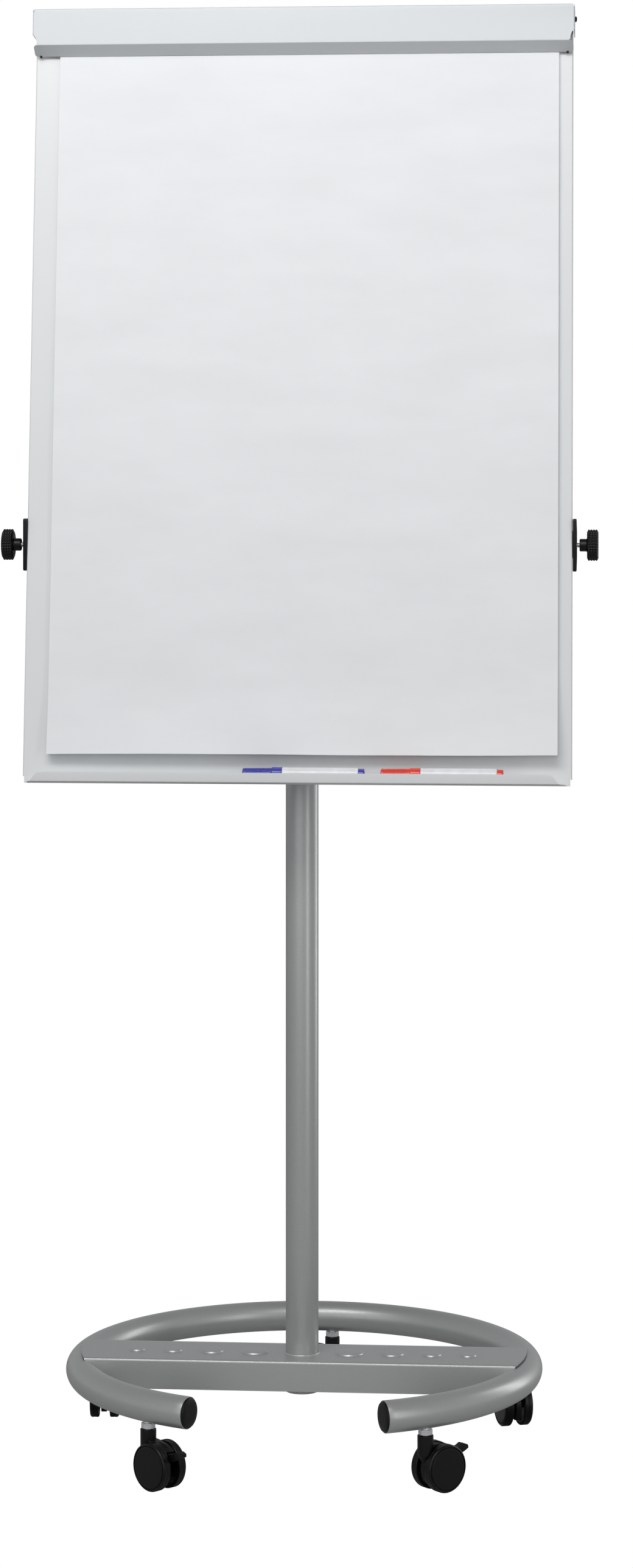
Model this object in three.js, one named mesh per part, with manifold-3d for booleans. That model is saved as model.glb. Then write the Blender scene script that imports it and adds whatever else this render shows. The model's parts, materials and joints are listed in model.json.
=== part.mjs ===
// Mobile flipchart easel: a ring base on five braked twin-wheel casters, a telescopic mast,
// and a tilting sheet-steel board with a pad clamp, a paper pad and two markers in its tray.
// Millimetres, +Z up, front of the board towards -Y, +X to the right seen from the front.
import * as THREE from 'three';
import { mergeVertices } from 'three/addons/utils/BufferGeometryUtils.js';
import Module from 'manifold-3d';

const wasm = await Module();
wasm.setup();

// ---------------------------------------------------------------- driving dimensions
const gap = 0.3;            // clearance between pieces that touch
const rad = THREE.MathUtils.degToRad;

const ring = {
  radius: 290, tube: 20, wall: 1.5, height: 100, centreY: 33, gapHalfAngle: 24.7,
  steps: 48, outerSides: 14, innerSides: 8, cap: 3, plug: 12,
};
const crossbar = { halfDepth: 52.5, top: 124, sheet: 2, bottom: 85.5, weldRadius: 24.7, weldHeight: 2.5 };
const bosses = [
  { x: 61.5, radius: 18.5 },
  { x: 117, radius: 15.5 },
  { x: 168, radius: 13 },
  { x: 215, radius: 11 },
];
const bossHeight = 1.3;
const post = { radius: 21.2, wall: 2, bottom: 74.5, top: 898, sides: 24 };
const foot = { recess: 0.5, plug: 22 };
const mast = { radius: 17.5, wall: 1.8, bottom: 650, sides: 20 };
const bush = { length: 46, flange: 3 };
const clamp = {
  bottom: 872, top: 896, radius: 27, screwRadius: 4, bossRadius: 9, bossEnd: 36,
  knobStart: 40, knobEnd: 58, knobRadius: 21, lobes: 6,
};
const pivot = { y: -50, z: 1170.5, tilt: 7 };
const yoke = { halfLength: 346, halfHeight: 20, halfDepth: 10, wall: 2, hubRadius: 22, hubLength: 25 };
const bracket = {
  inside: 350.5, thickness: 4.7, halfHeight: 33.5, front: -12, backHalfHeight: 18, footLength: 52,
};
const tiltKnob = { start: 359, hubRadius: 8, discStart: 368.5, end: 383, radius: 20, chamfer: 1, sides: 20 };
const screw = { radius: 3, nutRadius: 7.5, nutLength: 8, end: 376 };

// The board's own frame has its origin on the tilt axis, y back from the face, z up the face.
const board = { halfWidth: 350, face: -10, top: 692, bottom: -307, sheet: 1, flange: 20, flangeBottom: -298 };
const tray = { front: -58, lip: 12.2, cornerInset: 10, lipInset: 18, cornerRadius: 9 };
const header = {
  halfWidth: 352.2, sheet: 1, top: 698, front: -34, frontBottom: 649.8, lipTip: [-15.6, 638.7],
  back: 12, pivotZ: 685.5, notchRadius: 14, notchDepth: 5.5, notchRise: 3.6, lipCorner: 7,
};
const rivet = { radius: 2.7, headRadius: 4, inner: 334, upsetRadius: 4.5 };
const spring = { inside: 3.1, outside: 4.6, from: 335, to: 346, leg: 24, wire: 1.4 };
const pad = { width: 650, height: 957, thickness: 4, centreX: 7, bottom: -270 };
const peg = { spacing: 235, z: 672, radius: 4, shankRadius: 2.6, length: 15, tail: 5 };
const stiffener = { z: 330, halfHeight: 34, crest: 20, depth: 12, sheet: 1, halfLength: 347 };
const marker = {
  radius: 9.5, length: 154, cap: 50, collar: 36, tipRadius: 7.6, plug: 7.5, lipClearance: 1.4, sides: 14,
};

const caster = {
  neckRadius: 10, neckTop: 72, hexRadius: 8.9, threadRadius: 4, threadTop: 97, pinRadius: 5.5, pinBottom: 45,
  trail: 21, wheelRadius: 30, wheelSides: 20, wheelInside: 7.5, wheelOutside: 19, axleRadius: 3,
  axleHalf: 15, hoodHalf: 6.9, webHalf: 3.8, webRadius: 26.5, webBottom: 10.5,
  leverAngle: 38, leverReach: 23, leverHub: 4.8, leverHalf: 6.3,
};
const axleHeight = caster.wheelRadius * Math.cos(Math.PI / caster.wheelSides);
// Where each caster stands on the ring, and which way its wheels trail, in degrees from +X.
const casters = [
  { name: 'caster_back', at: 87.2, trail: 184 },
  { name: 'caster_right', at: 18, trail: 110 },
  { name: 'caster_left', at: 162, trail: 94 },
  { name: 'caster_front_left', at: 232.8, trail: -41 },
  { name: 'caster_front_right', at: 306, trail: 42 },
];

// ---------------------------------------------------------------- materials
const finishes = {
  silver: { color: 0x96999a, roughness: 0.4, metalness: 0.6 },
  white: { color: 0xd9dddf, roughness: 0.45, metalness: 0.05 },
  black: { color: 0x171817, roughness: 0.55, metalness: 0 },
  zinc: { color: 0xc8cdd0, roughness: 0.25, metalness: 1 },
  steel: { color: 0xb2b5b7, roughness: 0.35, metalness: 1 },
  paper: { color: 0xeceef0, roughness: 0.9, metalness: 0 },
  blue: { color: 0x3a3ea6, roughness: 0.35, metalness: 0 },
  red: { color: 0xe8402c, roughness: 0.35, metalness: 0 },
  cream: { color: 0xf0f1f2, roughness: 0.35, metalness: 0 },
};

// ---------------------------------------------------------------- solids
function toSolid(geometry) {
  const bare = geometry.clone();
  bare.deleteAttribute('normal');
  bare.deleteAttribute('uv');
  const merged = mergeVertices(bare, 1e-4);
  const corners = merged.index.array;
  const faces = [];
  for (let i = 0; i < corners.length; i += 3) {
    const [a, b, c] = corners.slice(i, i + 3);
    if (a !== b && b !== c && c !== a) faces.push(a, b, c);
  }
  return new wasm.Manifold(new wasm.Mesh({
    numProp: 3,
    vertProperties: new Float32Array(merged.attributes.position.array),
    triVerts: new Uint32Array(faces),
  }));
}

function toGeometry(solid) {
  const mesh = solid.getMesh();
  const geometry = new THREE.BufferGeometry();
  geometry.setAttribute('position', new THREE.BufferAttribute(mesh.vertProperties, 3));
  geometry.setIndex(new THREE.BufferAttribute(mesh.triVerts, 1));
  geometry.computeVertexNormals();
  return geometry;
}

function join(...geometries) {
  const solids = geometries.map(toSolid);
  return toGeometry(solids.reduce((whole, next) => whole.add(next)));
}

function cut(geometry, ...tools) {
  return toGeometry(tools.map(toSolid).reduce((whole, tool) => whole.subtract(tool), toSolid(geometry)));
}

function common(geometry, other) {
  return toGeometry(toSolid(geometry).intersect(toSolid(other)));
}

function block([x0, x1], [y0, y1], [z0, z1]) {
  const geometry = new THREE.BoxGeometry(x1 - x0, y1 - y0, z1 - z0);
  return geometry.translate((x0 + x1) / 2, (y0 + y1) / 2, (z0 + z1) / 2);
}

// A turned piece about the +Z axis. The profile's pairs are [radius, height], rising outside.
function turned(profile, sides) {
  const points = profile.map(([radius, height]) => new THREE.Vector2(radius, height));
  return new THREE.LatheGeometry(points, sides).rotateX(Math.PI / 2);
}

function rod(radius, from, to, sides) {
  return turned([[0, from], [radius, from], [radius, to], [0, to]], sides);
}

function pipe(outer, inner, from, to, sides) {
  return turned([[inner, from], [outer, from], [outer, to], [inner, to], [inner, from]], sides);
}

// The stretch from near to far on one side of the middle, lowest end first.
function span(side, near, far) {
  return side < 0 ? [-far, -near] : [near, far];
}

const alongX = (geometry) => geometry.rotateY(Math.PI / 2);
const alongY = (geometry) => geometry.rotateX(-Math.PI / 2);

function outline(points) {
  return new THREE.Shape(points.map(([u, v]) => new THREE.Vector2(u, v)));
}

function slab(shape, from, to, curveSegments = 6) {
  const options = { depth: to - from, bevelEnabled: false, curveSegments };
  return new THREE.ExtrudeGeometry(shape, options).translate(0, 0, from);
}

// A section drawn in (y, z) and run along X.
function sectionAlongX(shape, from, to, curveSegments) {
  return slab(shape, from, to, curveSegments).rotateX(Math.PI / 2).rotateZ(Math.PI / 2);
}

// A section drawn in (x, z) and run along Y.
function sectionAlongY(shape, from, to, curveSegments) {
  return slab(shape, -to, -from, curveSegments).rotateX(Math.PI / 2);
}

function roundedPlate(halfWidth, low, high, radius) {
  const shape = new THREE.Shape();
  shape.moveTo(-halfWidth, high);
  shape.lineTo(-halfWidth, low + radius);
  shape.absarc(-halfWidth + radius, low + radius, radius, Math.PI, 1.5 * Math.PI);
  shape.lineTo(halfWidth - radius, low);
  shape.absarc(halfWidth - radius, low + radius, radius, 1.5 * Math.PI, 2 * Math.PI);
  shape.lineTo(halfWidth, high);
  return shape;
}

function piece(name, geometry, finish) {
  const mesh = new THREE.Mesh(geometry, new THREE.MeshStandardMaterial(finishes[finish]));
  mesh.name = name;
  return mesh;
}

// ---------------------------------------------------------------- ring base
class RingArc extends THREE.Curve {
  getPoint(t) {
    const from = rad(-90 + ring.gapHalfAngle);
    const sweep = rad(360 - 2 * ring.gapHalfAngle);
    const angle = from + t * sweep;
    return new THREE.Vector3(
      ring.radius * Math.cos(angle), ring.centreY + ring.radius * Math.sin(angle), ring.height);
  }
}

function circleShape(radius, sides, clockwise = false) {
  const points = Array.from({ length: sides }, (_, i) => {
    const angle = ((clockwise ? -1 : 1) * (i + 0.5) * 2 * Math.PI) / sides;
    return new THREE.Vector2(radius * Math.cos(angle), radius * Math.sin(angle));
  });
  return points;
}

function casterPlace({ at }) {
  return [ring.radius * Math.cos(rad(at)), ring.centreY + ring.radius * Math.sin(rad(at))];
}

function ringTube() {
  const section = new THREE.Shape(circleShape(ring.tube, ring.outerSides));
  section.holes.push(new THREE.Path(circleShape(ring.tube - ring.wall, ring.innerSides, true)));
  const tube = new THREE.ExtrudeGeometry(section, {
    steps: ring.steps, extrudePath: new RingArc(), curveSegments: 1,
  });
  const holes = casters.map((place) => {
    const [x, y] = casterPlace(place);
    return rod(caster.threadRadius + gap, ring.height - 30, ring.height - 5, 8).translate(x, y, 0);
  });
  return cut(tube, ...holes);
}

function ringCap(side) {
  const bore = (ring.tube - ring.wall) * Math.cos(Math.PI / ring.innerSides) - 2 * gap;
  const cap = turned([
    [0, -ring.cap], [ring.tube - 6, -ring.cap], [ring.tube - 1, -ring.cap + 1.2], [ring.tube - 0.6, -gap],
    [bore, -gap], [bore - 0.6, ring.plug], [0, ring.plug],
  ], 20);
  const angle = -90 + side * ring.gapHalfAngle;
  cap.rotateX(-Math.PI / 2 * side);
  cap.rotateZ(rad(angle));
  return cap.translate(
    ring.radius * Math.cos(rad(angle)), ring.centreY + ring.radius * Math.sin(rad(angle)), ring.height);
}

function crossbarChannel() {
  const { halfDepth, top, sheet, bottom } = crossbar;
  const shell = cut(
    block([-ring.radius, ring.radius], [-halfDepth, halfDepth], [bottom, top]),
    block([-ring.radius - 1, ring.radius + 1], [-halfDepth + sheet, halfDepth - sheet], [bottom - 1, top - sheet]),
  );
  const plateDisc = rod(ring.radius, top - sheet, top, 48).translate(0, ring.centreY, 0);
  const skirtDisc = rod(ring.radius - ring.tube - gap, bottom - 1, top, 48).translate(0, ring.centreY, 0);
  const trimmed = common(shell, join(plateDisc, skirtDisc));
  const raised = [-1, 1].flatMap((side) => bosses.map(({ x, radius }) =>
    turned([[0, top - 1], [radius, top - 1], [radius - 1.5, top + bossHeight], [0, top + bossHeight]], 12)
      .translate(side * x, 0, 0)));
  const weld = turned([
    [0, top - 1], [crossbar.weldRadius, top - 1], [post.radius + 1, top + crossbar.weldHeight],
    [0, top + crossbar.weldHeight],
  ], post.sides);
  const bore = rod(post.radius + gap, bottom - 1, top + crossbar.weldHeight + 1, post.sides);
  return cut(join(trimmed, weld, ...raised), bore);
}

function postTube() {
  const screwHole = alongY(rod(clamp.screwRadius + gap, 10, 30, 10)).translate(0, 0, clampHeight);
  return cut(pipe(post.radius, post.radius - post.wall, post.bottom, post.top, post.sides), screwHole);
}

function footPlug() {
  const bore = post.radius - post.wall - gap;
  const low = post.bottom + foot.recess;
  const high = low + foot.plug;
  return turned([
    [0, low], [bore - 0.6, low], [bore, low + 0.6], [bore, high - 2], [bore - 0.5, high], [0, high],
  ], post.sides);
}

// ---------------------------------------------------------------- height clamp
const clampHeight = (clamp.bottom + clamp.top) / 2;

function guideBush() {
  const outside = post.radius - post.wall - gap;
  const inside = mast.radius + gap;
  const seat = post.top + gap;
  const sleeve = turned([
    [inside, seat - bush.length], [outside, seat - bush.length], [outside, seat], [post.radius - 0.5, seat],
    [post.radius - 1, seat + bush.flange], [inside, seat + bush.flange], [inside, seat - bush.length],
  ], mast.sides);
  return cut(sleeve, alongY(rod(clamp.screwRadius + gap, 10, 30, 10)).translate(0, 0, clampHeight));
}

function clampCollar() {
  const body = join(
    rod(clamp.radius, clamp.bottom, clamp.top, post.sides),
    alongY(rod(clamp.bossRadius, 20, clamp.bossEnd, 16)).translate(0, 0, clampHeight),
  );
  return cut(
    body,
    rod(post.radius + gap, clamp.bottom - 1, clamp.top + 1, post.sides),
    alongY(rod(clamp.screwRadius + gap, 15, clamp.bossEnd + 1, 10)).translate(0, 0, clampHeight),
  );
}

function clampKnob() {
  const { knobStart, knobEnd, knobRadius, lobes, screwRadius } = clamp;
  const grip = alongY(turned([
    [0, knobStart], [knobRadius - 3, knobStart], [knobRadius, knobStart + 3], [knobRadius, knobEnd - 3],
    [knobRadius - 3, knobEnd], [0, knobEnd],
  ], 24));
  const flutes = Array.from({ length: lobes }, (_, i) => {
    const angle = (i + 0.5) * 2 * Math.PI / lobes;
    const reach = knobRadius + 4;
    return alongY(rod(7, knobStart - 1, knobEnd + 1, 12))
      .translate(reach * Math.cos(angle), 0, reach * Math.sin(angle));
  });
  const shank = alongY(rod(screwRadius, mast.radius + gap, knobStart + 2, 10));
  return join(cut(grip, ...flutes), shank).translate(0, 0, clampHeight);
}

// ---------------------------------------------------------------- mast and yoke
const mastTop = pivot.z - yoke.halfHeight - gap;

function yokeBeam() {
  const { halfLength, halfHeight, halfDepth, wall, hubRadius, hubLength } = yoke;
  const underside = pivot.z - halfHeight;
  const beam = block([-halfLength, halfLength], [-halfDepth, halfDepth], [underside, pivot.z + halfHeight]);
  const hollow = block(
    [-halfLength - 1, halfLength + 1], [-halfDepth + wall, halfDepth - wall],
    [underside + wall, pivot.z + halfHeight - wall]);
  const hub = pipe(hubRadius, mast.radius + gap, underside - hubLength, underside + wall / 2, mast.sides);
  return join(cut(beam, hollow), cut(hub, hollow));
}

// Side plate beside the board, bent inwards behind the yoke's end.
function bracketPlate(side) {
  const { inside, thickness, halfHeight, front, backHalfHeight, footLength } = bracket;
  const rear = yoke.halfDepth + gap - pivot.y;
  const chamfer = 9;
  const profile = outline([
    [front, halfHeight - chamfer], [front + chamfer, halfHeight], [14, halfHeight],
    [rear, backHalfHeight], [rear + thickness, backHalfHeight], [rear + thickness, -backHalfHeight],
    [rear, -backHalfHeight], [14, -halfHeight], [front + chamfer, -halfHeight], [front, -halfHeight + chamfer],
  ]);
  const plate = sectionAlongX(profile, ...span(side, inside, inside + thickness));
  const tab = block(
    span(side, inside - footLength, inside + 1), [rear, rear + thickness], [-backHalfHeight, backHalfHeight]);
  const hole = alongX(rod(screw.radius + 2 * gap, ...span(side, inside - 1, inside + thickness + 1), 14));
  return cut(join(plate, tab), hole).translate(0, pivot.y, pivot.z);
}

// ---------------------------------------------------------------- tilt clamps
function tiltScrew(side) {
  const nutEnd = board.halfWidth - board.sheet - gap;
  const shape = join(
    alongX(rod(screw.radius, nutEnd - screw.nutLength - 2, screw.end, 12)),
    alongX(rod(screw.nutRadius, nutEnd - screw.nutLength, nutEnd, 6)),
  );
  return side < 0 ? shape.rotateZ(Math.PI) : shape;
}

function tiltKnobBody(side) {
  const { start, hubRadius, discStart, end, radius, chamfer, sides } = tiltKnob;
  const bore = screw.radius + gap;
  const knob = alongX(turned([
    [0, screw.end + gap], [bore, screw.end + gap], [bore, start], [hubRadius, start], [hubRadius, discStart],
    [radius - chamfer, discStart], [radius, discStart + chamfer], [radius, end - chamfer],
    [radius - chamfer, end], [0, end],
  ], sides));
  return side < 0 ? knob.rotateZ(Math.PI) : knob;
}

// ---------------------------------------------------------------- board
function boardPanel() {
  const { halfWidth, face, top, bottom, sheet, flange, flangeBottom } = board;
  const back = face + flange;
  const wide = [-halfWidth, halfWidth];
  const facePlate = block(wide, [face, face + sheet], [bottom, top]);
  const topFlange = block(wide, [face, back - 2], [top - sheet, top]);
  const sideFlanges = [-1, 1].map((side) =>
    block(span(side, halfWidth - sheet, halfWidth), [face, back], [flangeBottom, top - sheet]));
  const floor = slab(roundedPlate(halfWidth, tray.front, face + sheet, tray.cornerRadius), bottom, bottom + sheet);
  const lipShape = outline([
    [-halfWidth + tray.cornerInset, bottom], [halfWidth - tray.cornerInset, bottom],
    [halfWidth - tray.lipInset + 2, bottom + tray.lip - 3], [halfWidth - tray.lipInset - 3, bottom + tray.lip],
    [-halfWidth + tray.lipInset + 3, bottom + tray.lip], [-halfWidth + tray.lipInset - 2, bottom + tray.lip - 3],
  ]);
  const lip = sectionAlongY(lipShape, tray.front, tray.front + sheet);
  const screwHole = alongX(rod(screw.radius + gap, -halfWidth - 5, halfWidth + 5, 12));
  const rivetHole = alongX(rod(rivet.radius + gap, -halfWidth - 5, halfWidth + 5, 12))
    .translate(0, 0, header.pivotZ);
  const pegHoles = [-1, 1].map((side) => alongY(rod(peg.shankRadius + gap, face - 1, face + 3, 10))
    .translate(pad.centreX + side * peg.spacing, 0, peg.z));
  return cut(join(facePlate, topFlange, ...sideFlanges, floor, lip), screwHole, rivetHole, ...pegHoles);
}

// Hat section across the back of the face.
function rearStiffener() {
  const { z, halfHeight, crest, depth, sheet, halfLength } = stiffener;
  const seat = board.face + board.sheet + gap;
  const foot = seat + sheet;
  const profile = outline([
    [seat, z - halfHeight], [foot, z - halfHeight], [foot, z - crest - 5], [seat + depth, z - crest],
    [seat + depth, z + crest], [foot, z + crest + 5], [foot, z + halfHeight], [seat, z + halfHeight],
    [seat, z + crest + 4], [seat + depth - sheet, z + crest - 1], [seat + depth - sheet, z - crest + 1],
    [seat, z - crest - 4],
  ]);
  return sectionAlongX(profile, -halfLength, halfLength);
}

function clampBar() {
  const { halfWidth, sheet, top, front, frontBottom, lipTip, back } = header;
  const [tipY, tipZ] = lipTip;
  const slope = Math.atan2(frontBottom - tipZ, tipY - front);
  const inwardY = sheet * Math.sin(slope);
  const inwardZ = sheet * Math.cos(slope);
  const innerCornerZ = frontBottom + inwardZ - (sheet - inwardY) * Math.tan(slope);
  const profile = outline([
    [back, top], [front, top], [front, frontBottom], [tipY, tipZ], [tipY + inwardY, tipZ + inwardZ],
    [front + sheet, innerCornerZ], [front + sheet, top - sheet], [back, top - sheet],
  ]);
  const lipHalf = halfWidth - header.lipCorner;
  const bent = sectionAlongX(profile, -halfWidth, halfWidth);
  const lipEnds = [-1, 1].map((side) =>
    block(span(side, lipHalf, halfWidth + 1), [front - 1, tipY + 5], [tipZ - 5, frontBottom]));
  const flapShape = outline([
    [front, frontBottom], [front, top], [back, top], [back, header.pivotZ - 8], [back - 10, frontBottom],
  ]);
  const flaps = [-1, 1].map((side) => sectionAlongX(flapShape, ...span(side, halfWidth - sheet, halfWidth)));
  const notches = [-1, 1].map((side) => alongY(rod(header.notchRadius, front - 2, back, 20)).translate(
    side * (halfWidth + header.notchRadius - header.notchDepth), 0, frontBottom + header.notchRise));
  const rivetHole = alongX(rod(rivet.radius + gap, -halfWidth - 5, halfWidth + 5, 12))
    .translate(0, 0, header.pivotZ);
  return cut(join(cut(bent, ...lipEnds), ...flaps), rivetHole, ...notches);
}

function clampRivet(side) {
  const flangeInside = board.halfWidth - board.sheet - gap;
  const headSeat = header.halfWidth + gap;
  const shape = alongX(turned([
    [0, rivet.inner], [rivet.radius, rivet.inner], [rivet.radius, flangeInside - 1.5],
    [rivet.upsetRadius, flangeInside - 1.5], [rivet.upsetRadius, flangeInside], [rivet.radius, flangeInside],
    [rivet.radius, headSeat], [rivet.headRadius, headSeat], [rivet.headRadius - 0.6, headSeat + 1.6],
    [0, headSeat + 2.4],
  ], 14));
  if (side < 0) shape.rotateZ(Math.PI);
  return shape.translate(0, 0, header.pivotZ);
}

// Torsion spring drawn as its closed coil with one leg on the board's back and one under the bar.
function clampSpring() {
  const { inside, outside, from, to, leg, wire } = spring;
  const coil = alongX(pipe(outside, inside, from, to, 16));
  const lowerLeg = block([from, from + wire], [-outside, -outside + wire], [-leg, 0]);
  const upperLeg = block([to - wire, to], [0, leg / 3], [outside - wire, outside]);
  return join(coil, lowerLeg, upperLeg).rotateZ(Math.PI).translate(0, 0, header.pivotZ);
}

function paperPad() {
  const { width, height, thickness, centreX, bottom } = pad;
  const back = board.face - gap;
  const sheets = block(
    [centreX - width / 2, centreX + width / 2], [back - thickness, back], [bottom, bottom + height]);
  const punched = [-1, 1].map((side) => alongY(rod(peg.radius + 0.8, back - thickness - 1, back + 1, 12))
    .translate(centreX + side * peg.spacing, 0, peg.z));
  return cut(sheets, ...punched);
}

function padPeg(side) {
  const { radius, shankRadius, length, tail } = peg;
  const seat = board.face - gap;
  return alongY(turned([
    [0, seat - length], [radius - 1, seat - length], [radius, seat - length + 1], [radius, seat],
    [shankRadius, seat], [shankRadius, seat + tail], [0, seat + tail],
  ], 12)).translate(pad.centreX + side * peg.spacing, 0, peg.z);
}

// ---------------------------------------------------------------- markers, along +X from the cap's end
function markerCap() {
  const { radius, cap, collar, tipRadius, sides } = marker;
  return alongX(turned([
    [0, 0], [tipRadius - 1, 0], [tipRadius - 0.2, 1], [tipRadius, collar - 1], [radius, collar], [radius, cap],
    [radius - 1.4, cap], [radius - 1.4, collar], [4.5, collar - 4], [4.5, 12], [0, 12],
  ], sides));
}

function markerBarrel() {
  const { radius, length, cap, collar, plug, sides } = marker;
  const neck = radius - 1.4 - gap;
  return alongX(turned([
    [0, 14], [2.5, 15], [3.2, collar - 6], [4, collar + 3], [neck, collar + 5], [neck, cap + gap],
    [radius - 0.2, cap + gap], [radius - 0.2, length - plug], [radius - 1.5, length - plug],
    [radius - 1.9, length - 0.6], [radius - 2.5, length], [0, length],
  ], sides));
}

// ---------------------------------------------------------------- casters, about the stem, trailing to +X
const axle = new THREE.Vector3(caster.trail, 0, axleHeight);
const leverPivot = new THREE.Vector3(
  axle.x + caster.leverReach * Math.cos(rad(caster.leverAngle)), 0,
  axle.z + caster.leverReach * Math.sin(rad(caster.leverAngle)));

function casterStem() {
  const { hexRadius, threadRadius, threadTop, pinRadius, pinBottom, neckTop } = caster;
  const hexTop = ring.height - ring.tube - gap;
  return join(
    rod(hexRadius, neckTop + gap, hexTop, 6),
    rod(threadRadius, neckTop, threadTop, 10),
    rod(pinRadius, pinBottom, neckTop + 2 * gap, 10),
  );
}

function casterHousing() {
  const { neckRadius, neckTop, hoodHalf, webHalf, webRadius, webBottom, wheelInside, leverHub } = caster;
  const neck = turned([[0, 33], [3, 33], [neckRadius, 46], [neckRadius, neckTop], [0, neckTop]], 14);
  const hood = new THREE.Shape();
  hood.moveTo(0, 30);
  hood.lineTo(0, 61);
  hood.lineTo(12, 60);
  hood.absarc(axle.x, axle.z, 28.6, rad(82), rad(44), true);
  hood.lineTo(axle.x, axle.z);
  const web = new THREE.Shape();
  web.moveTo(axle.x + 12, axle.z + 12);
  web.absarc(axle.x, axle.z, webRadius, rad(105), rad(226));
  web.lineTo(4, webBottom);
  web.lineTo(axle.x + 10, webBottom);
  web.lineTo(axle.x + 17, axle.z - 8);
  const body = join(
    neck,
    sectionAlongY(hood, -hoodHalf, hoodHalf),
    sectionAlongY(web, -webHalf, webHalf),
  );
  const wheelRoom = [-1, 1].map((side) => alongY(rod(caster.wheelRadius + 0.9, 0, 20, caster.wheelSides))
    .translate(axle.x, side < 0 ? -wheelInside - 20 + gap : wheelInside - gap, axle.z));
  const leverRoom = alongY(rod(leverHub + 0.6, -hoodHalf - 1, hoodHalf + 1, 12))
    .translate(leverPivot.x, 0, leverPivot.z);
  const leverSweep = block(
    [leverPivot.x, leverPivot.x + 30], [-hoodHalf - 1, hoodHalf + 1], [leverPivot.z - 22, leverPivot.z + 20]);
  const stemBore = rod(caster.pinRadius + gap, caster.pinBottom - gap, neckTop + 1, 10);
  const axleBore = alongY(rod(caster.axleRadius + gap, -hoodHalf - 1, hoodHalf + 1, 10))
    .translate(axle.x, 0, axle.z);
  return cut(body, ...wheelRoom, leverRoom, leverSweep, stemBore, axleBore);
}

function casterAxle() {
  return alongY(rod(caster.axleRadius, -caster.axleHalf, caster.axleHalf, 10));
}

function casterWheel(side) {
  const { wheelRadius, wheelSides, wheelInside, wheelOutside, axleRadius, axleHalf } = caster;
  const bore = axleRadius + gap;
  const wheel = turned([
    [0, axleHalf + gap], [bore, axleHalf + gap], [bore, wheelInside], [6.5, wheelInside], [6.5, 12.5],
    [24, 12.5], [24, wheelInside], [wheelRadius, wheelInside + 0.8], [wheelRadius, wheelOutside - 1.5],
    [wheelRadius - 1.5, wheelOutside], [0, wheelOutside],
  ], wheelSides).rotateZ(Math.PI / wheelSides);
  return side < 0 ? wheel.rotateX(Math.PI / 2) : wheel.rotateX(-Math.PI / 2);
}

function brakeLever() {
  const { leverHub, leverHalf } = caster;
  const tab = new THREE.Shape();
  tab.moveTo(0, leverHub);
  tab.lineTo(10, 5.2);
  tab.lineTo(19, 9.5);
  tab.lineTo(25, 7.4);
  tab.lineTo(25.6, 3.2);
  tab.lineTo(19, 0.2);
  tab.lineTo(12, -2.6);
  tab.lineTo(0, -leverHub);
  tab.absarc(0, 0, leverHub, 1.5 * Math.PI, 0.5 * Math.PI, true);
  return sectionAlongY(tab, -leverHalf, leverHalf, 5);
}

function casterGroup(place) {
  const { name, trail } = place;
  const group = new THREE.Group();
  const stem = piece(`${name}_stem`, casterStem(), 'zinc');
  const turning = new THREE.Group();
  turning.rotation.z = rad(trail);
  const housing = piece(`${name}_housing`, casterHousing(), 'black');
  const shaft = piece(`${name}_axle`, casterAxle(), 'steel');
  const wheels = [piece(`${name}_wheel_left`, casterWheel(1), 'black'),
    piece(`${name}_wheel_right`, casterWheel(-1), 'black')];
  const lever = piece(`${name}_brake_lever`, brakeLever(), 'black');
  for (const part of [shaft, ...wheels]) part.position.copy(axle);
  lever.position.copy(leverPivot);
  turning.add(housing, shaft, ...wheels, lever);
  const [x, y] = casterPlace(place);
  group.position.set(x, y, 0);
  group.add(stem, turning);
  return group;
}

// ---------------------------------------------------------------- assembly
function baseGroup() {
  const group = new THREE.Group();
  group.add(
    piece('base_ring', ringTube(), 'silver'),
    piece('ring_end_cap_right', ringCap(1), 'black'),
    piece('ring_end_cap_left', ringCap(-1), 'black'),
    piece('crossbar', crossbarChannel(), 'silver'),
    piece('post_tube', postTube(), 'silver'),
    piece('post_foot_plug', footPlug(), 'black'),
    piece('mast_guide_bush', guideBush(), 'black'),
    piece('height_clamp_collar', clampCollar(), 'black'),
    piece('height_clamp_knob', clampKnob(), 'black'),
    ...casters.map(casterGroup),
  );
  return group;
}

function mastGroup() {
  const group = new THREE.Group();
  group.add(
    piece('mast_tube', pipe(mast.radius, mast.radius - mast.wall, mast.bottom, mastTop, mast.sides), 'steel'),
    piece('yoke_beam', yokeBeam(), 'silver'),
    piece('pivot_bracket_right', bracketPlate(1), 'black'),
    piece('pivot_bracket_left', bracketPlate(-1), 'black'),
  );
  return group;
}

function markerGroup(colour, left) {
  const group = new THREE.Group();
  const seat = board.bottom + board.sheet + marker.radius + gap;
  group.position.set(left, tray.front + board.sheet + marker.radius + marker.lipClearance, seat);
  group.add(
    piece(`${colour}_marker_cap`, markerCap(), colour),
    piece(`${colour}_marker_barrel`, markerBarrel(), 'cream'),
  );
  return group;
}

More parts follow.
